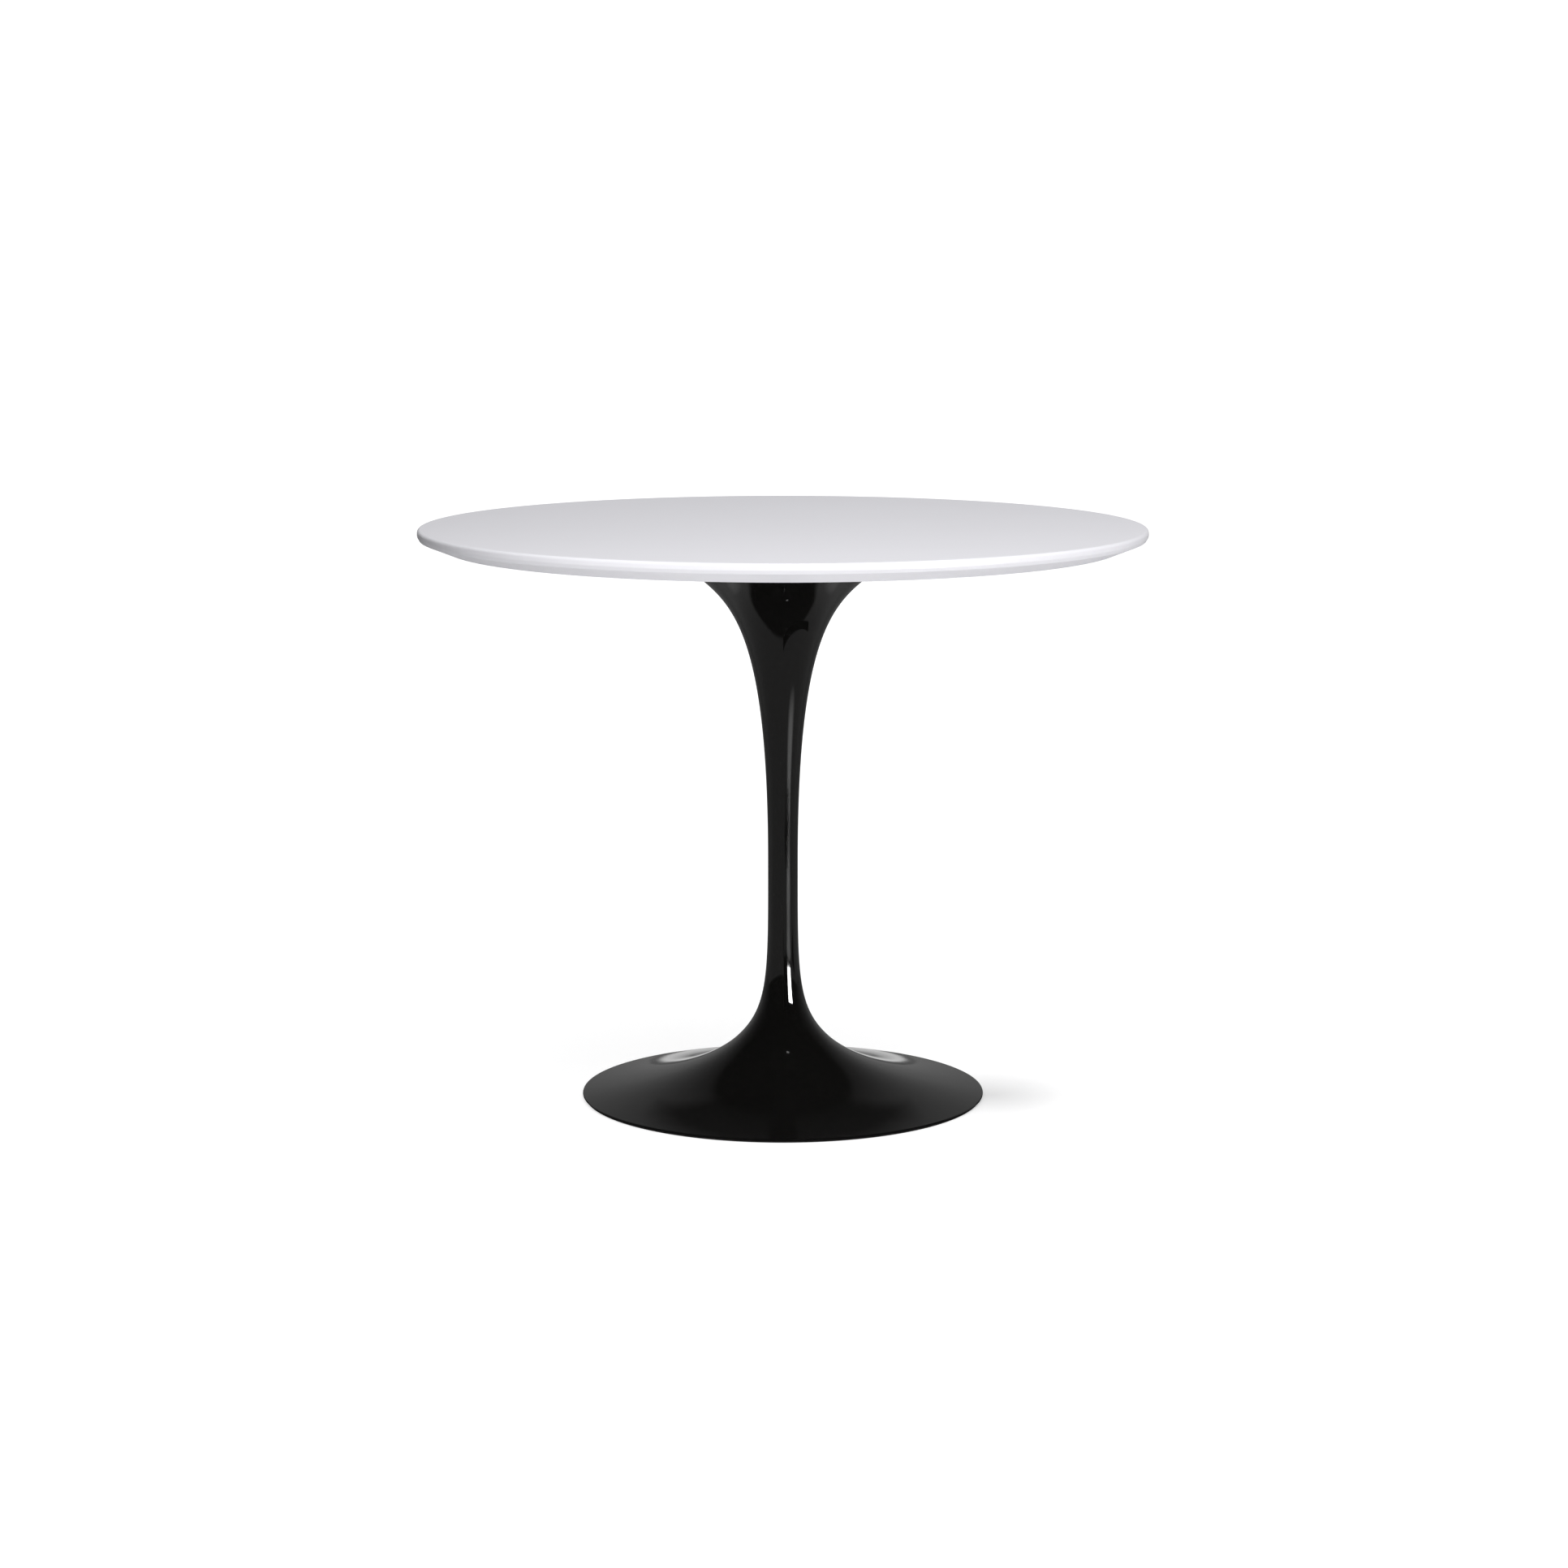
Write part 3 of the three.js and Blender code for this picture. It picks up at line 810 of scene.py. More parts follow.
    def _nut(self) -> bpy.types.NodeTree:
        """A hexagonal nut with turned corners and a bore."""
        tree = Tree("Hexagonal nut", {"Blank": Kind.OUTLINE, "Bore": Kind.OUTLINE, "Sides": Kind.COUNT,
                                      "Flats": Kind.LENGTH, "Bottom": Kind.LENGTH, "Top": Kind.LENGTH,
                                      "Finish": Kind.FINISH})
        flats = tree.use(self.shop.hexagon, {k: tree.given[k] for k in ("Flats", "Bottom", "Top")})
        body = tree.join(Join.KEEP_COMMON, self._turn(tree, "Blank"), flats)
        return tree.end(tree.join(Join.CUT, body, self._turn(tree, "Bore")), tree.given["Finish"])

    def _split_ring(self) -> bpy.types.NodeTree:
        """A bar of oblong section wound once round, with a gap between its ends."""
        tree = Tree("Split ring", {"Radius": Kind.LENGTH, "Width": Kind.LENGTH, "Thickness": Kind.LENGTH,
                                   "Turns": Kind.LENGTH, "Rise": Kind.LENGTH, "Bottom": Kind.LENGTH,
                                   "Finish": Kind.FINISH})
        path = tree.add("GeometryNodeCurveSpiral", {
            "Resolution": 72, "Rotations": tree.given["Turns"], "Start Radius": tree.given["Radius"],
            "End Radius": tree.given["Radius"], "Height": tree.given["Rise"],
        })
        section = tree.add("GeometryNodeCurvePrimitiveQuadrilateral",
                           {"Width": tree.given["Width"], "Height": tree.given["Thickness"]})
        soft = tree.add("GeometryNodeFilletCurve",
                        {"Curve": section.outputs[0], "Radius": 0.3 * MM, "Count": 3}, mode="POLY")
        upright = tree.add("GeometryNodeSetCurveNormal", {"Curve": path.outputs[0]}, mode="Z_UP")
        ring = tree.add("GeometryNodeCurveToMesh",
                        {"Curve": upright.outputs[0], "Profile Curve": soft.outputs[0], "Fill Caps": True})
        half = tree.math("MULTIPLY_ADD", tree.given["Thickness"], 0.5, tree.given["Bottom"])
        up = tree.add("ShaderNodeCombineXYZ", {"Z": half}).outputs[0]
        lifted = tree.add("GeometryNodeTransform", {"Geometry": ring.outputs[0], "Translation": up})
        return tree.end(lifted.outputs[0], tree.given["Finish"])


@dataclass(frozen=True)
class Ring:
    """Evenly spaced places round a circle: its radius in millimetres, the first angle in radians."""

    count: int
    circle: float
    first: float = 0.0

    def inputs(self, prefix: str = "") -> dict[str, Any]:
        """The ring's values for a tree's inputs."""
        return {f"{prefix}Count": self.count, f"{prefix}Circle": self.circle * MM,
                f"{prefix}First angle": self.first}

    def nodes(self, name: str) -> list[str]:
        """The CAD nodes of a numbered piece that stands at each place."""
        return [f"{name}_{i + 1}" for i in range(self.count)]


@dataclass(frozen=True)
class Thread:
    """A metric thread between two heights, in millimetres."""

    radius: float
    pitch: float
    bottom: float
    top: float
    sides: int = 24
    depth_share: float = 0.58

    def inputs(self) -> dict[str, Any]:
        """The thread's values for a tree's inputs."""
        return {"Thread sides": self.sides, "Thread radius": self.radius * MM,
                "Thread depth": self.depth_share * self.pitch * MM, "Pitch": self.pitch * MM,
                "Thread bottom": self.bottom * MM, "Thread top": self.top * MM}


M6_RADIUS = 2.9
M6_PITCH = 1.0
CENTRE = Ring(1, 0.0)
PLATE_SCREWS = Ring(6, 95.0, math.pi / 6)
PINS = Ring(2, 60.0)
BALLAST_SCREWS = Ring(4, 88.0)
LEVELLERS = Ring(4, 172.0, math.pi / 4)


def height_of(node: str) -> tuple[float, float]:
    """The lowest and highest point of a CAD node, in millimetres."""
    low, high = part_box(node)
    return low.z / MM, high.z / MM


def radius_of(node: str) -> float:
    """Half the width of a centred CAD node, in millimetres."""
    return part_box(node)[1].x / MM


class Tools:
    """What every sub-assembly needs to make its pieces."""

    def __init__(self, shop: Workshop, trees: PieceTrees, palette: Palette) -> None:
        """Keeps the shared tools.

        Args:
            shop: Draws outlines and bakes trees.
            trees: One tree for each sort of piece.
            palette: The shared shader groups.
        """
        self.shop, self.trees, self.palette = shop, trees, palette
        self.built: dict[Finish, bpy.types.Material] = {}

    def finish(self, finish: Finish) -> bpy.types.Material:
        """The finish's material, built the first time it is asked for."""
        if finish not in self.built:
            self.built[finish] = finish.material(self.palette)
        return self.built[finish]

    def piece(self, name: str, tree: bpy.types.NodeTree, finish: Finish, body: str, nodes: Sequence[str],
              values: Mapping[str, Any]) -> bpy.types.Object:
        """Makes a piece, lets it ride on a body in place of its CAD nodes, and reports it.

        Args:
            name: The piece's name.
            tree: The tree that shapes it.
            finish: Its finish.
            body: The CAD body that it rides on.
            nodes: The CAD nodes that it stands for.
            values: The tree's other inputs by name.

        Returns:
            The piece.
        """
        piece = self.shop.make(name, tree, {**values, "Finish": self.finish(finish)})
        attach(piece, body)
        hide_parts(*nodes)
        LOG.info("%s rides on %s for %s", name, body, ", ".join(nodes))
        return piece


# ---------------------------------------------------------------------------------------------
# Sub-assemblies
# ---------------------------------------------------------------------------------------------


@dataclass
class Tabletop:
    """The lacquered board and its threaded inserts, in millimetres."""

    tools: Tools
    sides: int = 256
    edge_round: float = 3.8
    lip_height: float = 12.5
    lip_lean: float = 2.4
    bevel_run: float = 34.0
    hole_radius: float = 5.1
    hole_depth: float = 14.0
    insert_pitch: float = 2.0

    def build(self) -> None:
        """Builds both sorts of piece."""
        self.board()
        self.inserts()

    def board(self) -> None:
        """Builds the board: a lip with a rounded upper corner, then a bevel in under the board."""
        tools, radius = self.tools, radius_of("top_board")
        underside, top = height_of("top_board")
        bevel_top = top - self.lip_height
        outline = tools.shop.corners("board", [
            Corner(0, underside),
            Corner(radius - self.bevel_run, underside, 2.5),
            Corner(radius - self.lip_lean, bevel_top, 1.0),
            Corner(radius, bevel_top + 4.5, 3.0),
            Corner(radius, top, self.edge_round),
            Corner(0, top),
        ], steps=8)
        hole = tools.shop.corners("insert_hole", [
            Corner(0, underside - 2), Corner(self.hole_radius, underside - 2),
            Corner(self.hole_radius, underside + self.hole_depth), Corner(0, underside + self.hole_depth + 2),
        ])
        board = tools.piece("tabletop_board", tools.trees.drilled, WHITE_LACQUER, ROOT, ["top_board"], {
            "Outline": outline, "Sides": self.sides, "Hole sides": 40,
            "First Cutter": hole, **PLATE_SCREWS.inputs("First "),
            "Second Cutter": hole, **PLATE_SCREWS.inputs("Second "),
        })
        board.visible_glossy = False

    def inserts(self) -> None:
        """Builds the brass inserts, threaded outside, with a bore for the screws."""
        tools = self.tools
        low, high = height_of("insert_1")
        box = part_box("insert_1")
        outer = (box[1].x - box[0].x) / 2 / MM
        bore = outer - 1.4
        cutter = tools.shop.corners("insert_bore", [
            Corner(0, low - 1), Corner(bore + 1.6, low - 1), Corner(bore, low + 0.6),
            Corner(bore, high - 0.5), Corner(bore + 1.5, high + 1), Corner(0, high + 1),
        ])
        tools.piece("threaded_inserts", tools.trees.insert, BRASS, ROOT, PLATE_SCREWS.nodes("insert"), {
            "Bore": cutter, "Sides": 32,
            **Thread(outer, self.insert_pitch, low, high, depth_share=0.3).inputs(),
            **PLATE_SCREWS.inputs(),
        })


@dataclass
class Mounting:
    """The steel plate under the board, its hub, its screws and the locating pins, in millimetres."""

    tools: Tools
    sides: int = 192
    head_radius: float = 6.0
    cone_height: float = 3.1
    clearance: float = 0.5
    thread_radius: float = M6_RADIUS
    pin_radius: float = 3.0

    def build(self) -> None:
        """Builds all four sorts of piece."""
        self.plate()
        self.hub()
        self.screws()
        self.pins()

    def plate(self) -> None:
        """Builds the plate, with countersunk screw holes and two pin holes."""
        tools, radius = self.tools, radius_of("mounting_plate")
        low, high = height_of("mounting_plate")
        outline = tools.shop.corners("plate", [
            Corner(0, low), Corner(radius, low, 0.8), Corner(radius, high, 0.4), Corner(0, high),
        ])
        wide, narrow = self.head_radius + 1.5, self.thread_radius + self.clearance
        countersink = tools.shop.corners("countersink", [
            Corner(0, low - 1), Corner(wide, low - 1), Corner(narrow, low + self.cone_height + 0.2),
            Corner(narrow, high + 1), Corner(0, high + 1),
        ])
        pin_hole = tools.shop.corners("pin_hole", [
            Corner(0, low - 1), Corner(self.pin_radius + 0.4, low - 1),
            Corner(self.pin_radius + 0.4, high + 1), Corner(0, high + 1),
        ])
        tools.piece("steel_mounting_plate", tools.trees.drilled, ZINC_STEEL, ROOT, ["mounting_plate"], {
            "Outline": outline, "Sides": self.sides, "Hole sides": 40,
            "First Cutter": countersink, **PLATE_SCREWS.inputs("First "),
            "Second Cutter": pin_hole, **PINS.inputs("Second "),
        })

    def hub(self) -> None:
        """Builds the threaded boss under the plate, with its weld's fillet."""
        tools, radius = self.tools, radius_of("mounting_hub")
        low, high = height_of("mounting_hub")
        bore = 8.3
        outline = tools.shop.corners("hub", [
            Corner(bore + 1.0, low, 0.3), Corner(radius, low, 1.5), Corner(radius, high, 0.2),
            Corner(bore, high, 0.2), Corner(bore, low + 1.2, 0.2),
        ])
        tools.piece("welded_hub", tools.trees.plain, ZINC_STEEL, ROOT, ["mounting_hub"], {
            "Outline": outline, "Sides": 96, **CENTRE.inputs(),
        })

    def screws(self) -> None:
        """Builds the countersunk plate screws."""
        tools = self.tools
        low, high = height_of("plate_screw_1")
        thread, cone = self.thread_radius, low + self.cone_height
        head = tools.shop.corners("plate_screw_head", [
            Corner(0, low), Corner(self.head_radius, low, 0.25), Corner(self.head_radius, low + 0.3, 0.1),
            Corner(thread * 0.85, cone + 0.2), Corner(thread * 0.75, cone + 1.4), Corner(0, cone + 1.4),
        ])
        tools.piece("plate_screws", tools.trees.screw, ZINC_STEEL, ROOT, PLATE_SCREWS.nodes("plate_screw"), {
            "Head": head, "Sides": 48, **Thread(thread, M6_PITCH, cone - 0.6, high).inputs(),
            "Socket flats": 4 * MM, "Socket bottom": (low - 1) * MM, "Socket top": (low + 2.2) * MM,
            **PLATE_SCREWS.inputs(),
        })

    def pins(self) -> None:
        """Builds the ground locating pins."""
        tools = self.tools
        low, high = height_of("locating_pin_1")
        outline = tools.shop.corners("pin", [
            Corner(0, low), Corner(self.pin_radius, low, 0.6), Corner(self.pin_radius, high, 0.6),
            Corner(0, high),
        ])
        tools.piece("locating_pins", tools.trees.plain, ZINC_STEEL, ROOT, PINS.nodes("locating_pin"), {
            "Outline": outline, "Sides": 40, **PINS.inputs(),
        })


@dataclass
class Pedestal:
    """The one-piece hollow casting, in millimetres.

    Its outline is three smooth curves: from the rim in to the knee, up to the waist and out to the mouth.
    """

    tools: Tools
    sides: int = 256
    foot_radius: float = 252.5
    rim_underside: float = 2.3
    rim_inner: float = 236.0
    knee: Point = (57.8, 73.2)
    waist: Point = (18.75, 300.0)
    mouth: Point = (143.4, 692.4)
    recess_radius: float = 130.8
    head_top: float = 687.4
    head_thickness: float = 8.4
    head_bore: float = 19.5
    foot_wall: float = 4.2
    column_wall: float = 6.0
    web_bottom: float = 62.0
    web_top: float = 80.0
    web_bore: float = 9.0
    leveller_boss: Point = (9.0, 7.6)
    ballast_boss: Point = (10.0, 34.0)
    screw_hole: float = 3.4
    steps: tuple[int, int, int] = (44, 30, 64)
    outer: list[Point] = field(default_factory=list)

    def __post_init__(self) -> None:
        """Works out the outer outline, from the rim up to the mouth."""
        start = (self.foot_radius - 0.5, 5.0)
        low, middle, high = self.steps
        self.outer = [
            start,
            *cubic(start, (150, 19), (87.8, 44.5), self.knee, low),
            *cubic(self.knee, (17.3, 112), (self.waist[0], 154), self.waist, middle),
            *cubic(self.waist, (self.waist[0], 660), (89, 624), self.mouth, high),
        ]

    def build(self) -> None:
        """Builds the casting."""
        tools = self.tools
        tools.piece("pedestal_casting", tools.trees.casting, BLACK_LACQUER, ROOT, ["pedestal"], {
            "Shell": tools.shop.outline("shell", self.shell(), True),
            "Core": tools.shop.outline("core", self.core(), False),
            "Sides": self.sides, "Hole sides": 40,
            "First Boss": self.boss("leveller_boss", self.leveller_boss),
            "First Cutter": self.hole("leveller_hole", 15.5), **LEVELLERS.inputs("First "),
            "Second Boss": self.boss("ballast_boss", self.ballast_boss),
            "Second Cutter": self.hole("ballast_hole", 46.0), **BALLAST_SCREWS.inputs("Second "),
            "Pin Cutter": self.pin_hole(), **PINS.inputs("Pin "),
        })

    def inner(self, wall: float, low: float, high: float) -> list[Point]:
        """The outer outline moved in by the wall, between two heights, every second point."""
        moved = offset(self.outer, wall)
        return [p for p in moved[::2] if low < p[1] < high]

    def shell(self) -> list[Point]:
        """The casting's outline: outside, mouth, head, column, web, foot and rim."""
        underside = self.head_top - self.head_thickness
        column = self.inner(self.column_wall, self.web_top + 2, underside - 3)
        foot = self.inner(self.foot_wall, self.rim_underside + 1.5, self.web_bottom - 2)
        foot = [p for p in foot if p[0] < self.rim_inner - 2]
        mouth = rounded([
            Corner(*self.outer[-2]), Corner(*self.mouth, 0.8), Corner(self.recess_radius, self.mouth[1], 0.6),
            Corner(self.recess_radius, self.head_top, 0.8), Corner(self.head_bore, self.head_top, 0.6),
            Corner(self.head_bore, underside, 0.6), Corner(column[-1][0] - 6, underside, 4.0),
            Corner(*column[-1]),
        ], False)
        web = rounded([
            Corner(*column[0]), Corner(column[0][0] - 1, self.web_top, 3.0),
            Corner(self.web_bore, self.web_top, 0.6), Corner(self.web_bore, self.web_bottom, 0.6),
            Corner(foot[-1][0] + 1.5, self.web_bottom, 4.0), Corner(*foot[-1]),
        ], False)
        rim = rounded([
            Corner(*foot[0]), Corner(self.rim_inner, self.rim_underside + 1.2, 0.6),
            Corner(self.rim_inner, self.rim_underside, 0.3),
            Corner(self.foot_radius - 0.6, self.rim_underside, 1.0),
            Corner(self.foot_radius, self.rim_underside + 1.4, 1.0), Corner(*self.outer[0]),
        ], False)
        return [*self.outer[1:-2], *mouth, *reversed(column[1:-1]), *web, *reversed(foot[1:-1]), *rim]

    def core(self) -> list[Point]:
        """The space inside the middle of the wall, which the bosses are trimmed to."""
        middle = self.inner(self.foot_wall / 2, 6.0, self.web_top)
        return [(0, 0), (middle[0][0], 0), *middle, (0, middle[-1][1])]

    def boss(self, name: str, size: Point) -> bpy.types.Object:
        """A boss's outline: a drafted stem that widens into the wall."""
        radius, bottom = size
        return self.tools.shop.corners(name, [
            Corner(0, bottom), Corner(radius - 0.3, bottom, 0.8), Corner(radius + 0.3, bottom + 12, 3.0),
            Corner(radius + 4.0, bottom + 30), Corner(0, bottom + 30),
        ])

    def hole(self, name: str, top: float) -> bpy.types.Object:
        """A blind screw hole's outline."""
        return self.tools.shop.corners(name, [
            Corner(0, 0), Corner(self.screw_hole, 0), Corner(self.screw_hole, top), Corner(0, top + 1.0),
        ])

    def pin_hole(self) -> bpy.types.Object:
        """The outline of a locating pin's hole in the casting's head."""
        low = height_of("locating_pin_1")[0] - 1.2
        return self.tools.shop.corners("head_pin_hole", [
            Corner(0, low), Corner(3.4, low), Corner(3.4, self.head_top + 3), Corner(0, self.head_top + 3),
        ])


@dataclass
class DrawRod:
    """The long rod and what holds it under the foot's web, in millimetres."""

    tools: Tools
    pitch: float = 2.0
    bore: float = 8.5
    flats: float = 24.0

    def build(self) -> None:
        """Builds the rod, washer, spring washer and nut."""
        self.rod()
        self.washer()
        self.spring_washer()
        self.nut()

    def rod(self) -> None:
        """Builds the rod, threaded all along."""
        tools, radius = self.tools, radius_of("draw_rod")
        tools.piece("threaded_draw_rod", tools.trees.rod, ZINC_STEEL, ROOT, ["draw_rod"], {
            **Thread(radius, self.pitch, *height_of("draw_rod"), sides=20).inputs(),
        })

    def washer(self) -> None:
        """Builds the wide washer."""
        tools, radius = self.tools, radius_of("rod_washer")
        low, high = height_of("rod_washer")
        outline = tools.shop.corners("washer", [
            Corner(self.bore, low, 0.3), Corner(radius, low, 0.9), Corner(radius, high, 0.3),
            Corner(self.bore, high, 0.3),
        ])
        tools.piece("wide_washer", tools.trees.plain, ZINC_STEEL, ROOT, ["rod_washer"], {
            "Outline": outline, "Sides": 96, **CENTRE.inputs(),
        })

    def spring_washer(self) -> None:
        """Builds the split spring washer, flattened by the nut, with a slight rise."""
        tools, radius = self.tools, radius_of("rod_spring_washer")
        low, high = height_of("rod_spring_washer")
        width, rise = radius - self.bore, 0.3
        tools.piece("split_spring_washer", tools.trees.split_ring, ZINC_STEEL, ROOT, ["rod_spring_washer"], {
            "Radius": (radius + self.bore) / 2 * MM, "Width": width * MM,
            "Thickness": (high - low - rise) * MM, "Turns": 0.975, "Rise": rise * MM, "Bottom": low * MM,
        })

    def nut(self) -> None:
        """Builds the nut, its corners turned off at both ends."""
        tools = self.tools
        low, high = height_of("rod_nut")
        corner, bore = self.flats / math.sqrt(3), 8.3
        blank = tools.shop.corners("nut_blank", [
            Corner(0, low), Corner(corner - 1.9, low), Corner(corner, low + 1.1, 0.2),
            Corner(corner, high - 1.1, 0.2), Corner(corner - 1.9, high), Corner(0, high),
        ])
        cutter = tools.shop.corners("nut_bore", [
            Corner(0, low - 1), Corner(bore + 1.8, low - 1), Corner(bore, low + 0.8),
            Corner(bore, high - 0.8), Corner(bore + 1.8, high + 1), Corner(0, high + 1),
        ])
        tools.piece("hexagonal_nut", tools.trees.nut, ZINC_STEEL, ROOT, ["rod_nut"], {
            "Blank": blank, "Bore": cutter, "Sides": 96, "Flats": self.flats * MM,
            "Bottom": (low - 1) * MM, "Top": (high + 1) * MM,
        })


@dataclass
class Ballast:
    """The iron ring under the foot and its screws, in millimetres."""

    tools: Tools
    pedestal: Pedestal
    inner_radius: float = 40.0
    clearance: float = 5.0
    draft: float = 1.5
    counterbore: float = 7.0
    screw_clearance: float = 3.6
    boss_clearance: float = 11.0

    def build(self) -> None:
        """Builds both sorts of piece."""
        self.ring()
        self.screws()

    def ring(self) -> None:
        """Builds the ring, whose top follows the casting's inner wall."""
        tools, radius = self.tools, radius_of("ballast_ring")
        low, high = height_of("ballast_ring")
        wall = self.pedestal.foot_wall + self.clearance
        nearest, furthest = self.inner_radius + 6, radius - 5
        top = [p for p in self.pedestal.inner(wall, low, high - 1) if nearest < p[0] < furthest]
        skirt = rounded([
            Corner(*top[-1]), Corner(self.inner_radius + self.draft, top[-1][1] + 1.5, 2.0),
            Corner(self.inner_radius, low, 1.5), Corner(radius - 1, low, 2.5),
            Corner(radius, top[0][1] - 1.5, 2.0), Corner(*top[0]),
        ], False)
        seat = low + 6.3
        boss = height_of("ballast_screw_1")[1] - 10.3
        cutter = tools.shop.corners("ballast_cutter", [
            Corner(0, low - 2), Corner(self.counterbore + 1, low - 2), Corner(self.counterbore, low + 0.6),
            Corner(self.counterbore, seat, 0.4), Corner(self.screw_clearance, seat),
            Corner(self.screw_clearance, boss), Corner(self.boss_clearance, boss, 0.5),
            Corner(self.boss_clearance, boss + 30), Corner(0, boss + 30),
        ])
        tools.piece("ballast_casting", tools.trees.drilled, CAST_IRON, ROOT, ["ballast_ring"], {
            "Outline": tools.shop.outline("ballast", [*top[1:-1], *skirt], True),
            "Sides": 192, "Hole sides": 48,
            "First Cutter": cutter, **BALLAST_SCREWS.inputs("First "),
            "Second Cutter": cutter, **BALLAST_SCREWS.inputs("Second "),
        })

    def screws(self) -> None:
        """Builds the socket cap screws."""
        tools = self.tools
        low, high = height_of("ballast_screw_1")
        head_radius, head_height, thread = 5.0, 5.5, M6_RADIUS
        head = tools.shop.corners("cap_screw_head", [
            Corner(0, low), Corner(head_radius, low, 0.7), Corner(head_radius, low + head_height, 0.25),
            Corner(thread * 0.9, low + head_height), Corner(thread * 0.9, high - 16),
            Corner(thread * 0.8, high - 15), Corner(0, high - 15),
        ])
        nodes = BALLAST_SCREWS.nodes("ballast_screw")
        tools.piece("ballast_cap_screws", tools.trees.screw, ZINC_STEEL, ROOT, nodes, {
            "Head": head, "Sides": 48, **Thread(thread, M6_PITCH, high - 18, high).inputs(),
            "Socket flats": 5 * MM, "Socket bottom": (low - 1) * MM, "Socket top": (low + 3) * MM,
            **BALLAST_SCREWS.inputs(),
        })


@dataclass
class Feet:
    """The rubber floor ring and the four levelling feet, in millimetres."""

    tools: Tools
    ring_inner: float = 238.0
    groove: float = 0.5
    ribs: int = 4
    collar_flats: float = 10.0
    socket: float = 3.6

    def build(self) -> None:
        """Builds the ring, and each pad and stud on its own body."""
        self.floor_ring()
        for i in range(LEVELLERS.count):
            angle = LEVELLERS.first + TURN * i / LEVELLERS.count
            where = Ring(1, LEVELLERS.circle, angle)
            self.pad(i + 1, where)
            self.stud(i + 1, where)

    def floor_ring(self) -> None:
        """Builds the ring, with ribs on the side that it stands on."""
        tools, outer = self.tools, radius_of("floor_ring")
        low, high = height_of("floor_ring")
        pitch = (outer - self.ring_inner) / self.ribs
        ribs = []
        for i in range(self.ribs):
            start = self.ring_inner + i * pitch
            ribs += [Corner(start + 0.35, low, 0.2), Corner(start + pitch - 0.35, low, 0.2)]
            if i < self.ribs - 1:
                ribs.append(Corner(start + pitch, low + self.groove, 0.15))
        outline = tools.shop.corners("ring", [
            *ribs, Corner(outer, low + 0.5, 0.3), Corner(outer, high, 0.3),
            Corner(self.ring_inner, high, 0.3), Corner(self.ring_inner, low + 0.5, 0.3),
        ], steps=3)
        tools.piece("rubber_floor_ring", tools.trees.plain, BLACK_RUBBER, ROOT, ["floor_ring"], {
            "Outline": outline, "Sides": 256, **CENTRE.inputs(),
        })

    def pad(self, number: int, where: Ring) -> None:
        """Builds a nylon pad, dished under its middle, with the stud's socket on top.

        Args:
            number: The foot's number.
            where: The foot's place.
        """
        tools, node = self.tools, f"leveller_pad_{number}"
        low, high = height_of(node)
        radius, socket_floor = 10.0, high - 1.8
        outline = tools.shop.corners(f"pad_{number}", [
            Corner(0, low + 0.4), Corner(5.5, low + 0.4, 0.3), Corner(6.4, low, 0.3),
            Corner(radius - 0.4, low, 0.7), Corner(radius, low + 1.2, 0.8),
            Corner(radius - 0.6, high - 1.1, 0.5),
            Corner(self.socket + 3.2, high, 0.6), Corner(self.socket, high, 0.2),
            Corner(self.socket, socket_floor), Corner(0, socket_floor),
        ])
        tools.piece(f"levelling_pad_{number}", tools.trees.plain, BLACK_NYLON, node, [node], {
            "Outline": outline, "Sides": 64, **where.inputs(),
        })

    def stud(self, number: int, where: Ring) -> None:
        """Builds a threaded stud with a hexagonal collar.

        Args:
            number: The foot's number.
            where: The foot's place.
        """
        tools, node = self.tools, f"leveller_stud_{number}"
        low, high = height_of(node)
        corner = self.collar_flats / math.sqrt(3)
        collar_low, collar_high = low + 1.8, low + 4.2
        foot = tools.shop.corners(f"stud_foot_{number}", [
            Corner(0, low), Corner(3.1, low, 0.5), Corner(3.1, low + 2.4, 0.1),
            Corner(2.3, collar_high + 0.3), Corner(2.2, collar_high + 1.2), Corner(0, collar_high + 1.2),
        ])
        collar = tools.shop.corners(f"stud_collar_{number}", [
            Corner(0, collar_low), Corner(corner - 0.7, collar_low), Corner(corner, collar_low + 0.4, 0.1),
            Corner(corner, collar_high - 0.4, 0.1), Corner(corner - 0.7, collar_high), Corner(0, collar_high),
        ])
        tools.piece(f"levelling_stud_{number}", tools.trees.stud, ZINC_STEEL, node, [node], {
            "Foot": foot, "Collar": collar, "Sides": 48,
            **Thread(M6_RADIUS, M6_PITCH, collar_high - 0.5, high).inputs(),
            "Collar flats": self.collar_flats * MM, "Collar bottom": (collar_low - 1) * MM,
            "Collar top": (collar_high + 1) * MM, **where.inputs(),
        })


# ---------------------------------------------------------------------------------------------
# Studio
# ---------------------------------------------------------------------------------------------


def grey_colour(value: float) -> tuple[float, ...]:
    """An opaque grey of one value."""
    return (value, value, value, 1)


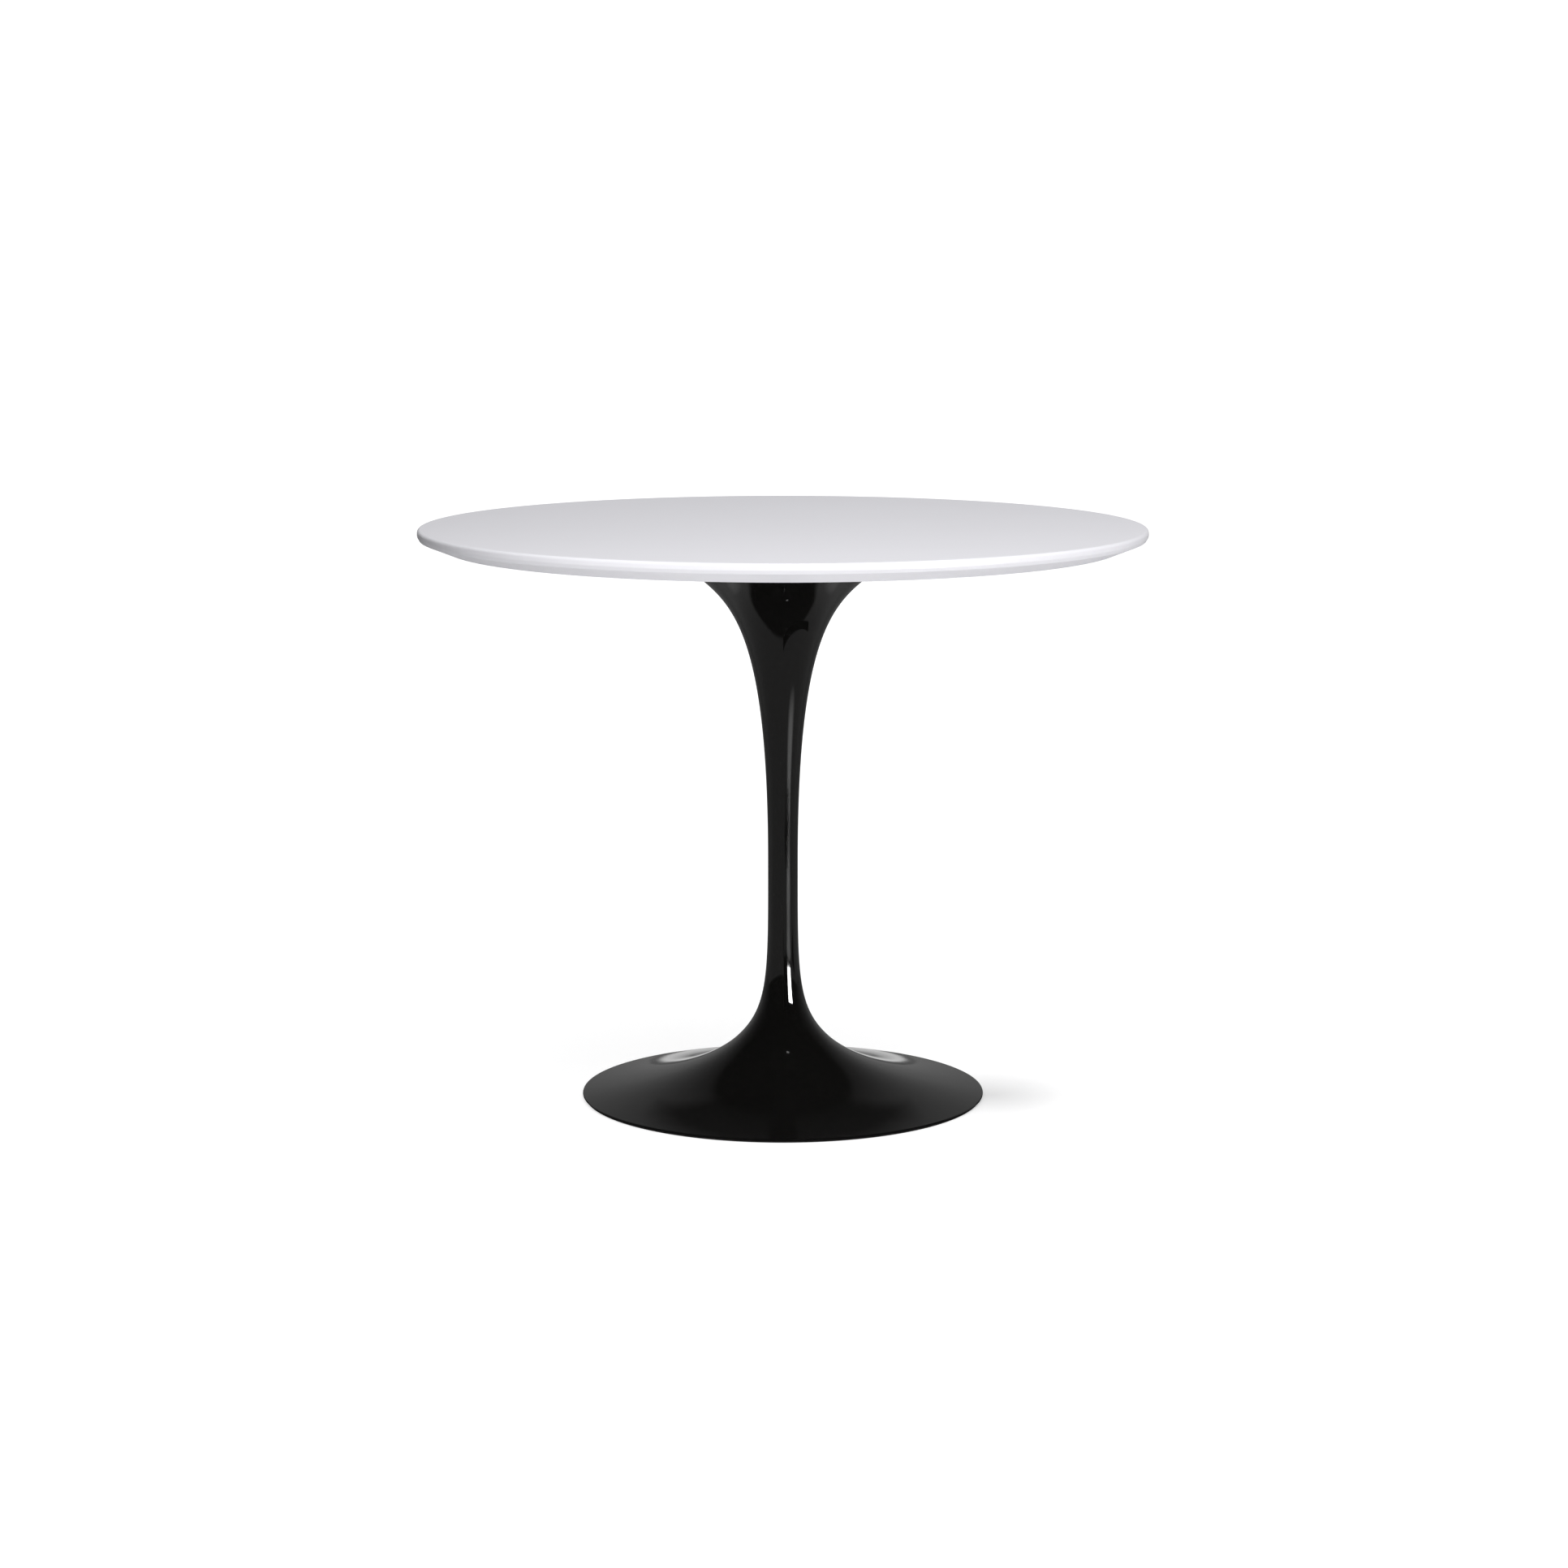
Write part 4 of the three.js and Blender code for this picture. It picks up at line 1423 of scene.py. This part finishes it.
@dataclass(frozen=True)
class Pool:
    """A soft-edged round area of the floor, in metres, and the painted light or painted shade that it adds to
    the floor's glow.
    """

    x: float
    y: float
    radius: float
    softness: float
    light: float
    stretch: float = 1.0

    def mask(self, shader: Shader, place: Socket) -> Socket:
        """One inside the pool and zero outside.

        Args:
            shader: The floor's shader.
            place: The place on the floor.

        Returns:
            The mask.
        """
        scale = (1 / self.stretch, 1, 1)
        flat = shader.add("ShaderNodeVectorMath", {0: place, 1: scale}, operation="MULTIPLY").outputs[0]
        away = shader.add("ShaderNodeVectorMath", {0: flat, 1: (self.x / self.stretch, self.y, 0)},
                          operation="DISTANCE").outputs["Value"]
        return shader.span(away, Ramp(self.radius + self.softness, self.radius - self.softness))

    def over(self, shader: Shader, place: Socket, floor: Socket) -> Socket:
        """The floor's glow with the pool's painted light or shade added to it."""
        return shader.math("MULTIPLY_ADD", self.mask(shader, place), self.light, floor)


class Card(NamedTuple):
    """An upright sheet that faces the table's axis.

    Its azimuth is in degrees, from the camera's side towards the right; its distance, half width and lowest
    and highest height are in metres.
    """

    azimuth: float
    away: float
    half: float
    low: float
    high: float
    shade: float = 0.002


@dataclass
class Studio:
    """The floor, the light and the camera. Lengths are in metres and angles in degrees.

    Polished pieces see a dimmer room than the camera does: a grey floor with the table's shadow painted on
    it, a dark front and a grey far wall that darkens upwards, with a darker band behind the table.
    """

    camera_place: Point = (-4.738, 1.159)
    camera_side: float = 0.00136
    camera_pitch: float = 9.15
    lens_mm: float = 88.3
    sensor_mm: float = 36.0
    floor_size: float = 60.0
    floor_colour: float = 0.96
    floor_colour_seen: float = 0.44
    # The floor glows for the camera rather than being lit. Its glow is painted dimmer near the table as
    # shade.
    floor_light_seen: Ramp = Ramp(0.3, 1.1, 0.68, 0.88)
    floor_light_spread: float = 0.14
    floor_light_mirrored: Ramp = Ramp(0.55, 0.90, 0.24, 0.14)
    # Painted light seen only in reflections: the table's painted shadow on the floor and two painted pools of
    # light.
    shadow: Pool = Pool(0.0, -0.12, 0.41, 0.025, 0.012)
    # Painted contact shadow: a fixed darker patch of the floor's glow at the right of the foot, not cast by
    # any light.
    painted_contact_shadow: Pool = Pool(0.26, -0.01, 0.07, 0.07, -0.34)
    window_glow: Pool = Pool(1.00, -1.08, 0.33, 0.13, 1.5)
    far_glow: Pool = Pool(0.0, 0.43, 0.13, 0.07, 0.7, 2.2)
    room_light: float = 0.73
    room_seen: float = 1.1
    wall: Ramp = Ramp(0.20, 0.62, 0.24, 0.06)
    wall_edge: Ramp = Ramp(0.62, 0.66, 1.0, 0.06)
    wall_depth: Ramp = Ramp(-0.2, 0.8, 0.06, 1.0)
    band_sides: Ramp = Ramp(0.13, 0.17, 0.2, 1.0)
    band_foot: Ramp = Ramp(0.42, 0.50, 1.0, 0.2)
    window: Card = Card(41.0, 1.5, 0.26, 0.07, 0.58, 0.0)
    window_brightness: float = 54.0
    window_frame: Card = Card(31.0, 1.55, 0.75, 0.012, 1.0)
    foot_card: Card = Card(41.0, 0.40, 0.34, 0.001, 0.130)
    key_azimuth: float = 10.0
    key_distance: float = 1.8
    key_height: float = 2.5
    key_aim: float = 0.7
    key_size: Point = (1.5, 1.2)
    key_power: float = 39.0

    def build(self) -> None:
        """Sets up everything round the table."""
        self.camera()
        self.floor()
        self.world()
        self.cards()
        self.key()
        self.flag()
        bpy.context.scene.view_settings.view_transform = "Standard"

    def camera(self) -> None:
        """Sets the camera, level and looking slightly down along +Y."""
        data = bpy.data.cameras.new("camera")
        data.lens, data.sensor_width = self.lens_mm, self.sensor_mm
        camera = bpy.data.objects.new("camera", data)
        camera.location = (self.camera_side, *self.camera_place)
        camera.rotation_euler = (math.radians(90 - self.camera_pitch), 0, 0)
        bpy.context.scene.collection.objects.link(camera)
        bpy.context.scene.camera = camera

    @staticmethod
    def sheet(name: str, corners: Sequence[tuple[float, float, float]]) -> tuple[bpy.types.Object, Shader]:
        """Makes a flat four-cornered sheet of the studio.

        Args:
            name: The sheet's name.
            corners: Its corners in order.

        Returns:
            The sheet, and its material's shader.
        """
        mesh = bpy.data.meshes.new(name)
        mesh.from_pydata(corners, [], [(0, 1, 2, 3)])
        sheet = bpy.data.objects.new(name, mesh)
        bpy.context.scene.collection.objects.link(sheet)
        made = bpy.data.materials.new(name)
        made.use_nodes = True
        mesh.materials.append(made)
        return sheet, Shader(made.node_tree)

    def floor(self) -> None:
        """Lays a white floor that glows instead of being lit. The camera sees its glow painted dimmer near
        the table, with a painted contact shadow at the right of the foot; diffuse rays get a little extra
        glow; polished pieces see it as a grey one, with the table's shadow and two pools of light painted on
        it.
        """
        half = self.floor_size / 2
        shader = self.sheet(
            "floor", [(-half, -half, 0), (half, -half, 0), (half, half, 0), (-half, half, 0)])[1]
        place = shader.add("ShaderNodeTexCoord", {}).outputs["Object"]
        path = shader.add("ShaderNodeLightPath", {}).outputs
        seen, glossy = path["Is Camera Ray"], path["Is Glossy Ray"]
        depth = shader.add("ShaderNodeSeparateXYZ", {0: place}).outputs["Y"]
        # Painted light for glossy rays: a grey floor, darker further back, with the table's painted shadow
        # and two painted pools of light.
        lit = shader.math("SUBTRACT", 1.0, self.shadow.mask(shader, place))
        grey = shader.math("MULTIPLY", shader.span(depth, self.floor_light_mirrored), lit)
        for pool in (self.shadow, self.window_glow, self.far_glow):
            grey = pool.over(shader, place, grey)
        # Painted shade for the camera: the floor's glow dims near the table, and a painted contact shadow
        # lies at the right of the foot.
        away = shader.add("ShaderNodeVectorMath", {0: place}, operation="LENGTH").outputs["Value"]
        painted_camera_glow = self.painted_contact_shadow.over(shader, place, shader.span(away, self.floor_light_seen))
        shine = shader.math("MULTIPLY_ADD", seen, painted_camera_glow, shader.math("MULTIPLY", grey, glossy))
        shine = shader.math("MULTIPLY_ADD", path["Is Diffuse Ray"], self.floor_light_spread, shine)
        base = shader.mix(seen, grey_colour(self.floor_colour), grey_colour(self.floor_colour_seen))
        shader.fill(shader.tree.nodes["Principled BSDF"], {
            "Base Color": shader.mix(glossy, base, grey_colour(0)),
            "Roughness": 0.9,
            "Specular IOR Level": 0.0,
            "Emission Color": grey_colour(1),
            "Emission Strength": shine,
        })

    def world(self) -> None:
        """Sets an even white surround, which polished pieces see as a dim room."""
        world = bpy.data.worlds.new("studio")
        bpy.context.scene.world = world
        world.use_nodes = True
        shader = Shader(world.node_tree)
        direction = shader.add("ShaderNodeTexCoord", {}).outputs["Generated"]
        x, y, z = shader.add("ShaderNodeSeparateXYZ", {0: direction}).outputs
        wall = shader.math("MULTIPLY", shader.span(z, self.wall), shader.span(z, self.wall_edge))
        band = shader.math("MAXIMUM", shader.span(shader.math("ABSOLUTE", x), self.band_sides),
                           shader.span(z, self.band_foot))
        behind = shader.math("MULTIPLY", shader.span(y, self.wall_depth), band)
        mirrored = shader.math("MULTIPLY", wall, behind)
        path = shader.add("ShaderNodeLightPath", {}).outputs
        extra = self.room_seen - self.room_light
        plain = shader.math("MULTIPLY_ADD", path["Is Camera Ray"], extra, self.room_light)
        change = shader.math("SUBTRACT", mirrored, plain)
        shader.fill(world.node_tree.nodes["Background"], {
            "Color": grey_colour(1),
            "Strength": shader.math("MULTIPLY_ADD", change, path["Is Glossy Ray"], plain),
        })

    def cards(self) -> None:
        """Hangs a window-like panel to the right of the camera, with black cards behind and before it.

        Only polished pieces see them. The card before it keeps its image off the top of the foot.
        """
        for name, card in (("window", self.window), ("window_frame", self.window_frame),
                           ("foot_card", self.foot_card)):
            angle = math.radians(card.azimuth)
            middle = Vector((card.away * math.sin(angle), -card.away * math.cos(angle), 0))
            along = Vector((math.cos(angle), math.sin(angle), 0)) * card.half
            low, high = Vector((0, 0, card.low)), Vector((0, 0, card.high))
            sheet, shader = self.sheet(name, [middle - along + low, middle + along + low,
                                              middle + along + high, middle - along + high])
            sheet.visible_camera = sheet.visible_diffuse = sheet.visible_shadow = False
            sheet.data.materials[0].cycles.emission_sampling = "NONE"
            shader.fill(shader.tree.nodes["Principled BSDF"], {
                "Base Color": grey_colour(card.shade),
                "Specular IOR Level": 0.0,
                "Emission Color": grey_colour(1),
                "Emission Strength": self.window_brightness if card is self.window else 0.0,
            })

    def key(self) -> None:
        """Hangs the soft main light above the table's front, a little to the right."""
        angle = math.radians(self.key_azimuth)
        data = bpy.data.lights.new("key", "AREA")
        data.shape, data.energy = "RECTANGLE", self.key_power
        data.size, data.size_y = self.key_size
        light = bpy.data.objects.new("key", data)
        light.location = (self.key_distance * math.sin(angle), -self.key_distance * math.cos(angle),
                          self.key_height)
        aim = Vector((0, 0, self.key_aim)) - light.location
        light.rotation_euler = aim.to_track_quat("-Z", "Y").to_euler()
        light.visible_camera = light.visible_glossy = False
        bpy.context.scene.collection.objects.link(light)

    def flag(self) -> None:
        """Stands a black card at the left, which keeps light off that side of the board."""
        x, half, low, high = -0.70, 0.50, 0.35, 0.96
        card, shader = self.sheet(
            "flag", [(x, -half, low), (x, half, low), (x, half, high), (x, -half, high)])
        shader.fill(shader.tree.nodes["Principled BSDF"], {"Base Color": grey_colour(0.01)})
        card.visible_camera = card.visible_glossy = False


def main() -> None:
    """Builds the studio, then the table from the top down."""
    logging.basicConfig(level=logging.INFO, format="%(name)s: %(message)s")
    Studio().build()
    shop = Workshop()
    tools = Tools(shop, PieceTrees(shop), Palette())
    pedestal = Pedestal(tools)
    for part in (Tabletop(tools), Mounting(tools), pedestal, DrawRod(tools), Ballast(tools, pedestal),
                 Feet(tools)):
        part.build()
    shop.clear()


if __name__ == "__main__":
    main()
